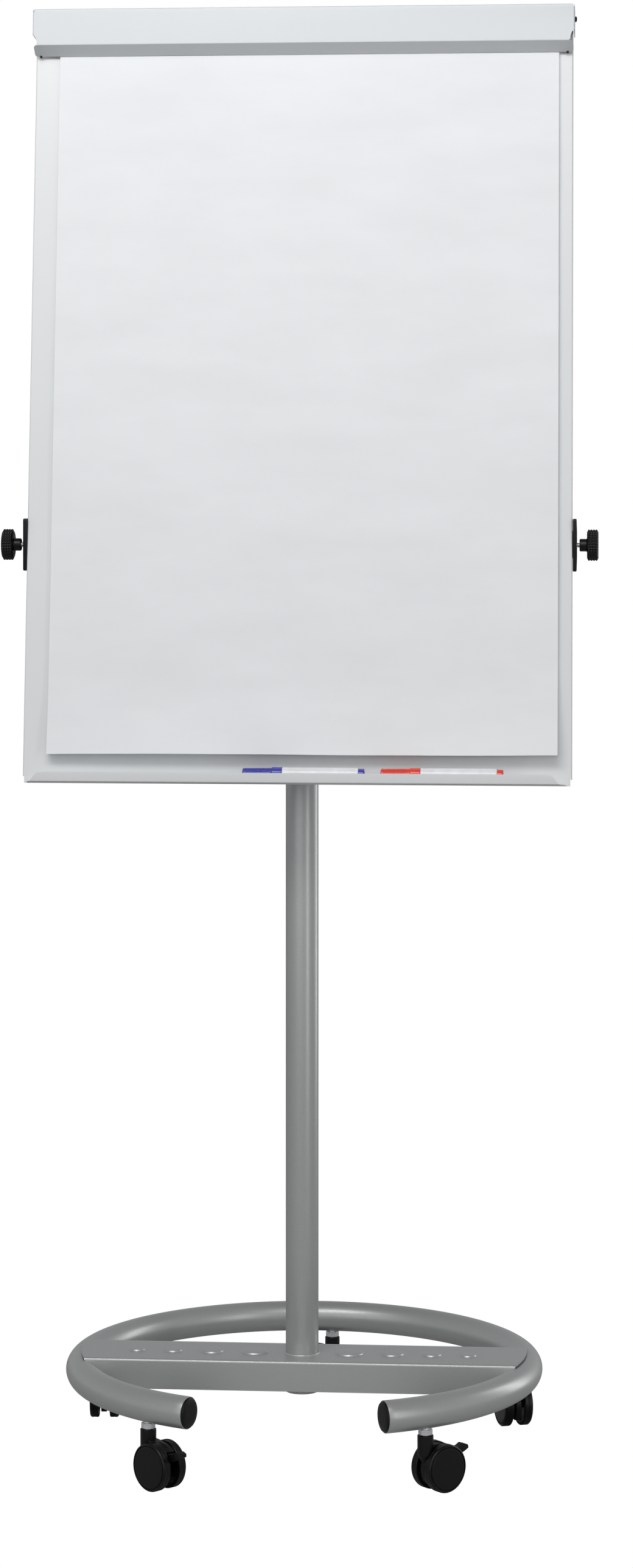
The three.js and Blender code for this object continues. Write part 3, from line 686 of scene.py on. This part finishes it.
def lever_mesh():
    """The brake's foot tab on its round hub, with grip ribs across its end."""
    u, v = LEVER_AT
    hub, rib_count = 4.6, 4
    tab = [(0, hub), (9, 5.0), (14, 6.6), (19, 9.3), (24.6, 7.4), (25.4, 3.4), (20, 0.6), (15.5, -1.2),
           (12.5, -3.4), (0, -hub)]
    radii = [0, 3, 4, 1.2, 1.2, 1.2, 3, 3, 1.5, 0]
    back = arc(hub, 255, 105, 10, LEVER_AT)
    line = fillet([(u + a, v + b) for a, b in tab] + back, radii + [0] * len(back), steps=3)
    lever = bevelled(slab("lever", line, -6.2, 6.2, "y", HERE), 0.6)
    ribs = []
    for k in range(rib_count):
        a, b = u + 18.2 + 1.7 * k, v + 8.2 - 0.55 * k
        ribs.append(slab("rib", [(a, b + 0.4), (a + 0.7, b + 1.2), (a + 1.4, b)], -4.6, 4.6, "y", HERE))
    return joined("lever", [lever, *ribs])


def about_axle(rotation):
    spot = Vector((TRAIL * MM, 0, AXLE_Z * MM))
    return Matrix.Translation(spot) @ rotation @ Matrix.Translation(-spot)


def build_casters():
    """Five casters from one set of shapes, each turned to the way its record's axle trails."""
    shapes = {"stem": stem_mesh(), "housing": housing_mesh(), "axle": axle_mesh(),
              "wheel": wheel_mesh(), "lever": lever_mesh()}
    mirror = about_axle(Matrix.Rotation(math.pi, 4, "X"))
    for n, name in enumerate(CASTERS):
        stem_at = Vector(joint(f"{name}_swivel")["pos_m"])
        axle_at = Vector(joint(f"{name}_roll_left")["pos_m"])
        trail = math.atan2(axle_at.y - stem_at.y, axle_at.x - stem_at.x)
        upright = Matrix.Translation((stem_at.x, stem_at.y, 0))
        trailing = upright @ Matrix.Rotation(trail, 4, "Z")
        rolled = about_axle(Matrix.Rotation(n * ROLL_STEP, 4, "Y"))
        place_piece(copy(shapes["stem"], f"{name}_stem_bolt", upright), "base", ZINC, f"{name}_stem")
        place_piece(copy(shapes["housing"], f"{name}_fork", trailing), name, BLACK, f"{name}_housing")
        place_piece(copy(shapes["axle"], f"{name}_axle_pin", trailing), name, STEEL, f"{name}_axle")
        tab = copy(shapes["lever"], f"{name}_brake_tab", trailing)
        place_piece(tab, f"{name}_brake", BLACK, f"{name}_brake_lever")
        for side, flip in (("left", HERE), ("right", mirror)):
            wheel = copy(shapes["wheel"], f"{name}_{side}_wheel_disc", trailing @ flip @ rolled)
            place_piece(wheel, f"{name}_wheel_{side}", WHEEL, f"{name}_wheel_{side}")
    for obj in shapes.values():
        bpy.data.objects.remove(obj)


# ---------------------------------------------------------------- mast and yoke
def mast_tube():
    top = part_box("mast_tube")[1].z / MM
    profile = fillet(rectangle(MAST_R - MAST_WALL, MAST_R, MAST_BOTTOM, top), 0.4, steps=2)
    return turned("mast", profile, 64, ring=True)


BEAM_HALF, BEAM_DEEP, BEAM_HIGH, BEAM_WALL = 346, 10, 20, 2


def beam_section(wall, corner):
    deep, high = BEAM_DEEP - wall, BEAM_HIGH - wall
    return fillet(rectangle(-deep, deep, PIVOT_Z - high, PIVOT_Z + high), corner)


def yoke():
    """Oblong-section cross beam with the welded hub that takes the mast."""
    outer, inner = beam_section(0, 3), beam_section(BEAM_WALL, 1.5)
    count = len(outer)
    verts = [(x, u, v) for x in (-BEAM_HALF, BEAM_HALF) for line in (outer, inner) for u, v in line]
    faces = []
    for i in range(count):
        k = (i + 1) % count
        faces += [(i, k, 2 * count + k, 2 * count + i),
                  (count + k, count + i, 3 * count + i, 3 * count + k),
                  (k, i, count + i, count + k),
                  (2 * count + i, 2 * count + k, 3 * count + k, 3 * count + i)]
    beam = make("beam", verts, faces)
    low, seat = PIVOT_Z - 45, PIVOT_Z - BEAM_HIGH
    outline = [(17.8, low), (22, low), (22, seat - 1.5), (24, seat), (17.8, seat)]
    profile = fillet(outline, [0.5, 0.8, 1.5, 0, 0])
    return joined("yoke", [beam, turned("hub", profile, 64, ring=True)])


def bracket(side):
    """Plate beside the board, with a bolted tab behind the yoke's end."""
    rear, thick = 60.3, 4.7
    back = rear + thick
    line = fillet([(-12, 33.5), (14, 33.5), (back, 18), (back, -18), (14, -33.5), (-12, -33.5)],
                  [2.5, 12, 3, 3, 12, 2.5])
    near, far = sorted((side * 350.5, side * 355.2))
    inner, outer = sorted((side * 299, side * 352.5))
    place = Matrix.Translation(TILT_AXIS)
    plate = bevelled(slab("plate", line, near, far, "x", place), 1.1)
    tab_line = fillet(rectangle(inner, outer, -18, 18), 5)
    tab = bevelled(slab("tab", tab_line, rear, back, "y", place), 1.0)
    head = fillet([(0, back - 0.2), (5.5, back - 0.2), (5.2, back + 2.4), (0, back + 3.4)], [0, 0.4, 1.4, 0])
    bolts = [turned("bolt", head, 28, place, ("X", -90), (side * reach, 0, 0)) for reach in (312, 334)]
    return joined(f"bracket_{side_name(side)}", [plate, tab, *bolts])


def knurled_knob(side):
    """Knob with a plain hub and a rim covered in four rows of small pyramids."""
    rows_of_bumps, bumps_around, fine = 4, 34, 6
    start, end, low, depth = 369.2, 382.3, 19.0, 1.05
    around = bumps_around * fine
    rows = rows_of_bumps * fine + 1
    edge_drops = {0: 1.1, 1: 0.45}

    def point(i, j):
        u = abs((i / fine) % 1 - 0.5) * 2
        v = abs((j / fine) % 1 - 0.5) * 2
        drop = edge_drops.get(min(j, rows - 1 - j), 0)
        r = low + depth * max(0, 1 - max(u, v) ** 1.5) - drop
        angle = TAU * i / around
        return (r * math.cos(angle), r * math.sin(angle), start + (end - start) * j / (rows - 1))

    verts, faces = grid(around, rows, point, around=True)
    rim = make("rim", turn(verts, "Y", 90), faces, HERE, sharp=50)
    back = [(3.3, 376), (3.3, 359.6), (3.9, 359), (7.2, 359), (8, 360), (8, 367.6), (8.8, 368.6),
            (16.5, 368.6), (17.95, start)]
    front = [(17.95, end), (17, 383), (13.5, 383), (12.6, 382.2), (5, 382.0), (0, 382.0)]
    plates = []
    for outline in (back, front):
        radii = [0] + [0.35] * (len(outline) - 2) + [0]
        profile = fillet(outline, radii, closed=False, steps=3)
        plates.append(turned("face", profile, around, HERE, ("Y", 90)))
    knob = joined(f"knurled_knob_{side_name(side)}", [rim, *plates])
    clean(knob.data, 50)
    knob.data.transform(BOARD @ facing(side))
    return knob


def tilt_screw(side):
    place = BOARD @ facing(side)
    rod = threaded_rod("rod", 3, 339, 375.5, ("Y", 90), place)
    nut = hexagon(12.8, 340.8, 348.6, 0.8)
    nut.data.transform(place @ Matrix.Rotation(math.pi / 2, 4, "Y"))
    return joined(f"threaded_screw_{side_name(side)}", [rod, nut])


# ---------------------------------------------------------------- board
def board_panel():
    """The face folded back at its sides and top, and the pen tray folded forward below it."""
    half, fold = BOARD_HALF, BOARD_TOP - 2.4
    wrap = bent_sheet([(half, 10), (half, FACE), (-half, FACE), (-half, 10)], 2.0, 1)
    shell = slab("shell", wrap, FLANGE_BOTTOM, fold, "z")
    top = bent_sheet([(8, BOARD_TOP), (FACE, BOARD_TOP), (FACE, fold)], 1.6, -1)
    cover = slab("cover", top, -half + 2.2, half - 2.2, "x")
    curve = bent_sheet([(FACE, FLANGE_BOTTOM), (FACE, BOARD_BOTTOM + 1), (TRAY_FRONT + 4, BOARD_BOTTOM + 1),
                        (TRAY_FRONT + 1, BOARD_BOTTOM + LIP)], 0.8, -1)
    tray = slab("tray", curve, -half + 2, half - 2, "x")
    plan = [(360, FACE - 1), (344, FACE - 1), (341, -34), (333, TRAY_FRONT - 3), (360, TRAY_FRONT - 3)]
    end = [(334, 0.6), (325, LIP - 0.2), (312, LIP + 0.2), (312, 30), (370, 30), (370, 0.6)]
    cutters = []
    for side in (-1, 1):
        corner = [(side * u, v) for u, v in plan]
        cutters.append(slab("corner", corner, BOARD_BOTTOM - 4, BOARD_BOTTOM + 20, "z"))
        lip_end = fillet([(side * u, BOARD_BOTTOM + v) for u, v in end], [0, 9, 0, 0, 0, 0])
        cutters.append(slab("end", lip_end, TRAY_FRONT - 6, TRAY_FRONT + 6, "y"))
    tray = bevelled(carved(tray, cutters), 0.3, 2, 60)
    hole = turned("hole", rectangle(0, 3.4, -400, 400), 32, BOARD, ("Y", 90))
    return joined("board_sheet", [carved(shell, [hole]), cover, tray])


def stiffener():
    """Top-hat channel across the back of the board."""
    seat = FACE + 1.3
    crest = seat + 11
    hat = [(seat, 296), (seat, 308), (crest, 311), (crest, 349), (seat, 352), (seat, 364)]
    return slab("rear_channel", bent_sheet(hat, 1.2, 1), -347, 347, "x")


def clamp_bar():
    """Folded front with notched ends, crown, inward lip with bulging ends, and flaps up to the crown."""
    half, bend_low = BAR_HALF, BAR_TOP - 3.4
    band = bent_sheet([(half, 12), (half, BAR_FRONT), (-half, BAR_FRONT), (-half, 12)], 1.8, 1)
    front = slab("front", band, BAR_LOW + 1.6, bend_low, "z")
    crown_line = bent_sheet([(12, BAR_TOP), (BAR_FRONT, BAR_TOP), (BAR_FRONT, bend_low)], 3.2, -1)
    crown = slab("crown", crown_line, -half + 2.2, half - 2.2, "x")
    lip_line = bent_sheet([(BAR_FRONT, BAR_LOW + 1.6), (BAR_FRONT, BAR_LOW), LIP_TIP], 1.6, -1)
    lip = slab("lip", lip_line, -half + 1.6, half - 1.6, "x")
    lip_middle, lip_half = (BAR_LOW + LIP_TIP[1]) / 2, (BAR_LOW - LIP_TIP[1]) / 2 + 0.6
    notch_z, notch_r, notch_depth = BAR_LOW + 3.6, 14, 5.5
    ends, notches = [], []
    for side in (-1, 1):
        bulge = [(side * (half - 7 + 6.5 * math.cos(t)), lip_middle + lip_half * math.sin(t))
                 for t in (math.pi / 2 - math.pi * k / 16 for k in range(17))]
        outside = rectangle(side * (half - 7), side * (half + 6), LIP_TIP[1] - 4, BAR_LOW + 3)
        ends.append(slab("round", bulge + outside, BAR_FRONT - 5, 2, "y"))
        centre = (side * (half + notch_r - notch_depth), 0, notch_z)
        notches.append(turned_along_y("notch", rectangle(0, notch_r, BAR_FRONT - 8, 20), 72, BOARD, centre))
    low, high = BAR_TOP - 4, BAR_TOP - 0.2
    flap = [(BAR_FRONT + 1.2, low), (12, low), (12, high), (BAR_FRONT + 3, high)]
    flaps = [slab("flap", flap, near, near + 1, "x") for near in (half - 1, -half)]
    return joined("clamp_bar", [carved(front, notches), crown, carved(lip, ends), *flaps])


def bumpers():
    """Small rubber stops under the clamp bar's ends."""
    profile = fillet([(0, 0), (1.6, 0), (1.5, 3.4), (0, 4)], [0, 0.3, 0.8, 0])
    spots = [(side * 343, -14, LIP_TIP[1] - 0.3) for side in (-1, 1)]
    return joined("bar_stops", [turned("stop", profile, 24, BOARD, ("X", 90), spot) for spot in spots])


def rivet(side):
    head = BAR_HALF + 0.3
    outline = [(0, 334), (2.7, 334), (2.7, 347), (4.4, 347), (4.4, 348.6), (2.7, 348.6), (2.7, head),
               (4, head), (3.6, head + 1.4), (1.8, head + 2.3), (0, head + 2.4)]
    profile = fillet(outline, [0, 0.4, 0, 0.4, 0.4, 0, 0, 0.3, 1.2, 1, 0])
    name = f"pivot_rivet_{side_name(side)}"
    return turned(name, profile, 32, BOARD @ facing(side), ("Y", 90), (0, 0, BAR_PIVOT))


def coil_spring():
    """Torsion spring round the left rivet, with its two legs."""
    coils, steps, radius, wire = 6, 24, 4.3, 0.75
    outer_end, length = -345.5, 9.5
    points = [Vector((outer_end, -7, BAR_PIVOT + radius))]
    for k in range(coils * steps + 1):
        angle = TAU * k / steps
        x = outer_end + length * k / (coils * steps)
        points.append(Vector((x, radius * math.sin(angle), BAR_PIVOT + radius * math.cos(angle))))
    points.append(Vector((outer_end + length, 3.2, BAR_PIVOT - 23)))
    return wire_piece("coil_spring", points, wire)


def wire_piece(name, points, radius):
    """A round wire along the points, with its ends closed."""
    sides = 10
    verts, faces = [], []
    side = Vector((0, 0, 1))
    for i, p in enumerate(points):
        along = (points[min(i + 1, len(points) - 1)] - points[max(i - 1, 0)]).normalized()
        if abs(side.dot(along)) < 0.99:
            side = (side - along * side.dot(along)).normalized()
        else:
            side = along.orthogonal()
        other = along.cross(side)
        for k in range(sides):
            angle = TAU * k / sides
            verts.append(tuple(p + radius * (side * math.cos(angle) + other * math.sin(angle))))
    for i in range(len(points) - 1):
        for k in range(sides):
            n = (k + 1) % sides
            faces.append((i * sides + k, i * sides + n, (i + 1) * sides + n, (i + 1) * sides + k))
    faces += [tuple(range(sides)), tuple(range((len(points) - 1) * sides, len(points) * sides))]
    return make(name, verts, faces, BOARD)


def peg(side):
    outline = [(0, -25.3), (3.2, -25.3), (4, -24.3), (4, -10.3), (2.6, -10.3), (2.6, -5.3), (0, -5.3)]
    profile = fillet(outline, [0, 0.5, 0.6, 0, 0, 0.4, 0])
    spot = (PAD_X + side * PEG_SPACING, 0, PEG_Z)
    return turned_along_y(f"hanging_peg_{side_name(side)}", profile, 32, BOARD, spot)


# ---------------------------------------------------------------- paper pad
# How far the top sheet's lower edge stands off, and how far down the sheet that begins.
CURL, CURL_FROM = 15, 0.86


def wave(x, z, curl_depth):
    """How far a top sheet stands off the pad, in mm: slow swells, none under the clamp bar, and the curl."""
    hang = max(0.0, min(1.0, (LIP_TIP[1] - 12 - z) / 120))
    low = (LIP_TIP[1] - z) / (LIP_TIP[1] - PAD_BOTTOM)
    swell = noise.noise(Vector((x / 520, 0, z / 105)))
    ripple = noise.noise(Vector((x / 150 + 7, 3, z / 46)))
    crease = noise.noise(Vector((x / 60, 9, z / 26)))
    height = 1.5 + 1.1 * swell + 0.45 * ripple + 0.10 * crease
    curl = curl_depth * max(0.0, (low - CURL_FROM) / (1 - CURL_FROM)) ** 2
    curl *= 0.88 + 0.3 * noise.noise(Vector((x / 240, 5, 1)))
    return hang * height * (0.45 + 0.7 * low) + curl


def hem(x):
    """How far the lower edge of a top sheet is off its straight line, in mm."""
    t = (x - PAD_X) / (PAD_W / 2)
    return 1.6 * t * t * t - 0.6 * t + 0.5 * noise.noise(Vector((x / 130, 2, 8)))


def top_sheet(name, offset, drop, curl_depth, thickness=0.22):
    columns, rows = 150, 230
    low, high = PAD_BOTTOM - drop, PAD_BOTTOM + PAD_H

    def surface(i, j):
        x = PAD_X - PAD_W / 2 + PAD_W * i / (columns - 1)
        t = j / (rows - 1)
        z = low + (high - low) * t + hem(x) * (1 - t) ** 6
        return (x, PAD_BACK - PAD_T + 0.45 - offset - wave(x, z, curl_depth) * 0.9, z)

    verts, faces = grid(columns, rows, surface)
    sheet = make(name, verts, faces, BOARD, sharp=60)
    thick = sheet.modifiers.new("sheet", "SOLIDIFY")
    thick.thickness = thickness * MM
    thick.offset = 0
    return applied(sheet, 60)


def pad_block():
    """The stack under the top sheets, with a thin groove between groups of sheets along its edges."""
    layers = 14
    step = (PAD_T - 0.5) / layers
    left, right = PAD_X - PAD_W / 2 + 0.4, PAD_X + PAD_W / 2 - 0.4
    low, high = PAD_BOTTOM + 0.8, PAD_BOTTOM + PAD_H - 0.2
    blocks = []
    rng = random.Random(5)
    for k in range(layers):
        dx, dz = rng.uniform(-0.35, 0.35), rng.uniform(-0.45, 0.25)
        outline = rectangle(left + dx, right + dx, low + dz, high)
        blocks.append(slab("layer", outline, PAD_BACK - step * (k + 0.93), PAD_BACK - step * k, "y"))
    return joined("pad_stack", blocks)


# ---------------------------------------------------------------- markers
BARREL_END = 146.4


def marker_frame(colour):
    """Where a marker lies: its length is along X from the cap's closed end."""
    low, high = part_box(f"{colour}_marker_cap")
    local = BOARD.inverted() @ ((low + high) / 2)
    return BOARD @ Matrix.Translation((low.x, local.y, local.z))


def marker_cap(colour):
    place = marker_frame(colour)
    outline = [(0, 0), (7.2, 0), (8.1, 1.2), (8.4, 35), (8.7, 37), (9.45, 37.6), (9.45, 49.6), (9.1, 50),
               (8.1, 50), (8.1, 37), (5, 33), (5, 12), (0, 12)]
    profile = fillet(outline, [0, 1.2, 1.5, 1.2, 0.8, 0.5, 0.4, 0.1, 0, 0, 0, 0, 0], steps=4)
    shell = turned("shell", profile, 56, place, ("Y", 90))
    clip_line = fillet([(2.5, 7.2), (2.2, 8.9), (30, 9.3), (39, 9.3), (39, 8), (34, 7.4)],
                       [0.5, 0.8, 4, 2, 0, 0])
    clip = bevelled(slab("clip", clip_line, -2.3, 2.3, "y", HERE), 0.6)
    clip.data.transform(place @ Matrix.Rotation(math.radians(52), 4, "X"))
    return joined(f"{colour}_cap_shell", [shell, clip])


def marker_barrel(colour):
    outline = [(0, 14), (2.2, 14.6), (3, 30), (4, 38), (7.7, 41), (7.7, 50.3), (8.9, 50.3), (9.3, 51),
               (9.3, BARREL_END - 0.8), (8.6, BARREL_END), (7.6, BARREL_END), (0, BARREL_END)]
    profile = fillet(outline, [0, 0.6, 2, 1, 0.8, 0, 0.2, 0.3, 0.5, 0.4, 0, 0], steps=3)
    return turned(f"{colour}_barrel_body", profile, 56, marker_frame(colour), ("Y", 90))


def marker_plug(colour):
    outline = [(0, BARREL_END), (8, BARREL_END), (7.8, 153), (6.9, 154), (5, 154), (4.4, 153.2), (0, 153.2)]
    profile = fillet(outline, [0, 0.1, 0.6, 0.5, 0.3, 0.3, 0], steps=3)
    return turned(f"{colour}_end_plug", profile, 48, marker_frame(colour), ("Y", 90))


# ---------------------------------------------------------------- assembly
def build_base():
    place_piece(ring_tube(), "base", SILVER, "base_ring")
    place_piece(end_cap(1), "base", BLACK, "ring_end_cap_right")
    place_piece(end_cap(-1), "base", BLACK, "ring_end_cap_left")
    place_piece(crossbar(), "base", SILVER, "crossbar")
    place_piece(weld_bead(), "base", SILVER)
    place_piece(post(), "base", SILVER, "post_tube")
    place_piece(foot_plug(), "base", BLACK, "post_foot_plug")
    place_piece(guide_bush(), "base", BLACK, "mast_guide_bush")
    place_piece(clamp_collar(), "base", BLACK, "height_clamp_collar")
    place_piece(clamp_knob(), "height_knob", BLACK, "height_clamp_knob")
    rod = threaded_rod("clamp_screw_rod", 4, 18, 41, ("X", -90), BASE, pitch=1.25, offset=(0, 0, CLAMP_Z))
    place_piece(rod, "height_knob", ZINC)


def build_mast():
    place_piece(mast_tube(), "mast", STEEL, "mast_tube")
    place_piece(yoke(), "mast", SILVER, "yoke_beam")
    for side, name in SIDES:
        place_piece(bracket(side), "mast", BLACK, f"pivot_bracket_{name}")
        place_piece(tilt_screw(side), "board", ZINC, f"tilt_screw_{name}")
        place_piece(knurled_knob(side), f"tilt_knob_{name}", BLACK, f"tilt_knob_{name}")


def build_board():
    place_piece(board_panel(), "board", WHITE, "board_panel")
    place_piece(stiffener(), "board", WHITE, "board_stiffener")
    # The clamp bar takes the darker white, which is painted shade.
    place_piece(clamp_bar(), "pad_clamp", BAR_WHITE_PAINTED_SHADE, "pad_clamp_bar")
    place_piece(bumpers(), "pad_clamp", BLACK)
    place_piece(coil_spring(), "board", ZINC, "clamp_spring")
    for side, name in SIDES:
        place_piece(rivet(side), "board", BLACK, f"clamp_rivet_{name}")
        place_piece(peg(side), "board", ZINC, f"pad_peg_{name}")
    place_piece(pad_block(), "board", PAPER, "paper_pad")
    place_piece(top_sheet("sheet_front", 0.6, 0, CURL), "board", PAPER)
    place_piece(top_sheet("sheet_second", 0.3, -0.7, 0.55 * CURL), "board", PAPER)


def build_markers():
    for colour, finish, cap_body, barrel_body in (("blue", BLUE, "blue_cap", "blue_marker"),
                                                  ("red", RED, "red_marker", "red_barrel")):
        place_piece(marker_cap(colour), cap_body, finish, f"{colour}_marker_cap")
        place_piece(marker_barrel(colour), barrel_body, CREAM, f"{colour}_marker_barrel")
        place_piece(marker_plug(colour), barrel_body, finish)


# ---------------------------------------------------------------- camera, light and floor
CAMERA_TURN = math.radians(4.7)
CAMERA_DISTANCE, CAMERA_SIDE, CAMERA_HEIGHT = 4830, 18.6, 1244
LENS, SHIFT_Y = 85.63, -0.1891
WORLD_SIDE, WORLD_TOP, DAYLIGHT = 0.49, 0.17, 0.41
FLOOR_HALF, FLOOR_GREY = 60, 0.52


def add_camera():
    data = bpy.data.cameras.new("camera")
    data.sensor_width = 36
    data.lens = LENS
    data.shift_y = SHIFT_Y
    camera = bpy.data.objects.new("camera", data)
    forward = Vector((-math.sin(CAMERA_TURN), math.cos(CAMERA_TURN), 0))
    right = Vector((math.cos(CAMERA_TURN), math.sin(CAMERA_TURN), 0))
    before_post = Vector((0, AXIS_Y, CAMERA_HEIGHT)) - forward * CAMERA_DISTANCE
    camera.location = (before_post + right * CAMERA_SIDE) * MM
    camera.rotation_euler = (math.pi / 2, 0, CAMERA_TURN)
    bpy.context.scene.collection.objects.link(camera)
    bpy.context.scene.camera = camera


def aimed(name, data, place, target):
    lamp = bpy.data.objects.new(name, data)
    lamp.location = place
    lamp.rotation_euler = (Vector(target) - Vector(place)).to_track_quat("-Z", "Y").to_euler()
    bpy.context.scene.collection.objects.link(lamp)


def soft_box(name, place, target, size, power):
    data = bpy.data.lights.new(name, "AREA")
    data.shape = "RECTANGLE"
    data.size, data.size_y = size
    data.energy = power
    aimed(name, data, place, target)


def even_light(name, place, strength, spread):
    """A very wide sun, which lights the whole floor alike and leaves only soft shadows."""
    data = bpy.data.lights.new(name, "SUN")
    data.energy = strength
    data.angle = math.radians(spread)
    aimed(name, data, place, (0, 0, 0))


def add_studio():
    scene = bpy.context.scene
    scene.view_settings.view_transform = "Standard"
    scene.view_settings.look = "None"
    scene.world = studio_world()
    even_light("daylight", (-0.9, -3.2, 1.6), DAYLIGHT, 60)
    soft_box("high", (-0.4, -2.2, 3.1), (0, -0.1, 1.85), (2.0, 0.8), 27)
    soft_box("over_board", (-0.3, -1.4, 2.6), (0, -0.1, 1.8), (2.2, 0.6), 7.5)
    soft_box("streak", (2.3, -2.4, 1.2), (0, 0, 0.7), (0.28, 2.6), 10)
    soft_box("rim", (2.2, 1.4, 0.9), (0, 0, 0.5), (0.5, 1.6), 9)


def studio_world():
    """White behind the object for the camera; for the light, brighter at the sides than above."""
    world = bpy.data.worlds.new("studio")
    world.use_nodes = True
    tree = world.node_tree
    light = tree.nodes["Background"]
    coords = tree.nodes.new("ShaderNodeTexCoord")
    split = tree.nodes.new("ShaderNodeSeparateXYZ")
    height = tree.nodes.new("ShaderNodeMapRange")
    for socket, value in (("From Min", 0), ("From Max", 0.9), ("To Min", WORLD_SIDE), ("To Max", WORLD_TOP)):
        height.inputs[socket].default_value = value
    tree.links.new(coords.outputs["Generated"], split.inputs["Vector"])
    tree.links.new(split.outputs["Z"], height.inputs["Value"])
    tree.links.new(height.outputs["Result"], light.inputs["Strength"])
    light.inputs["Color"].default_value = (0.97, 0.985, 1, 1)
    backdrop = tree.nodes.new("ShaderNodeBackground")
    backdrop.inputs["Color"].default_value = (1, 1, 1, 1)
    only_camera(tree, light.outputs["Background"], backdrop.outputs["Background"],
                tree.nodes["World Output"].inputs["Surface"])
    return world


def only_camera(tree, for_light, for_camera, target):
    """What the camera sees directly differs from what lights the object."""
    ray = tree.nodes.new("ShaderNodeLightPath")
    mix = tree.nodes.new("ShaderNodeMixShader")
    tree.links.new(ray.outputs["Is Camera Ray"], mix.inputs["Fac"])
    tree.links.new(for_light, mix.inputs[1])
    tree.links.new(for_camera, mix.inputs[2])
    tree.links.new(mix.outputs["Shader"], target)


def add_floor():
    """A grey floor for the light, which the camera sees as plain white."""
    mesh = bpy.data.meshes.new("floor")
    corners = rectangle(-FLOOR_HALF, FLOOR_HALF, -FLOOR_HALF, FLOOR_HALF)
    mesh.from_pydata([(x, y, 0) for x, y in corners], [], [(0, 1, 2, 3)])
    floor = bpy.data.objects.new("floor", mesh)
    s = Shader("floor", (FLOOR_GREY, FLOOR_GREY, FLOOR_GREY), 0.95)
    s.set("Specular IOR Level", 0.1)
    plain_white = s.tree.nodes.new("ShaderNodeEmission")
    only_camera(s.tree, s.bsdf.outputs["BSDF"], plain_white.outputs["Emission"],
                s.tree.nodes["Material Output"].inputs["Surface"])
    mesh.materials.append(s.material)
    bpy.context.scene.collection.objects.link(floor)


add_camera()
add_studio()
add_floor()
build_base()
build_casters()
build_mast()
build_board()
build_markers()
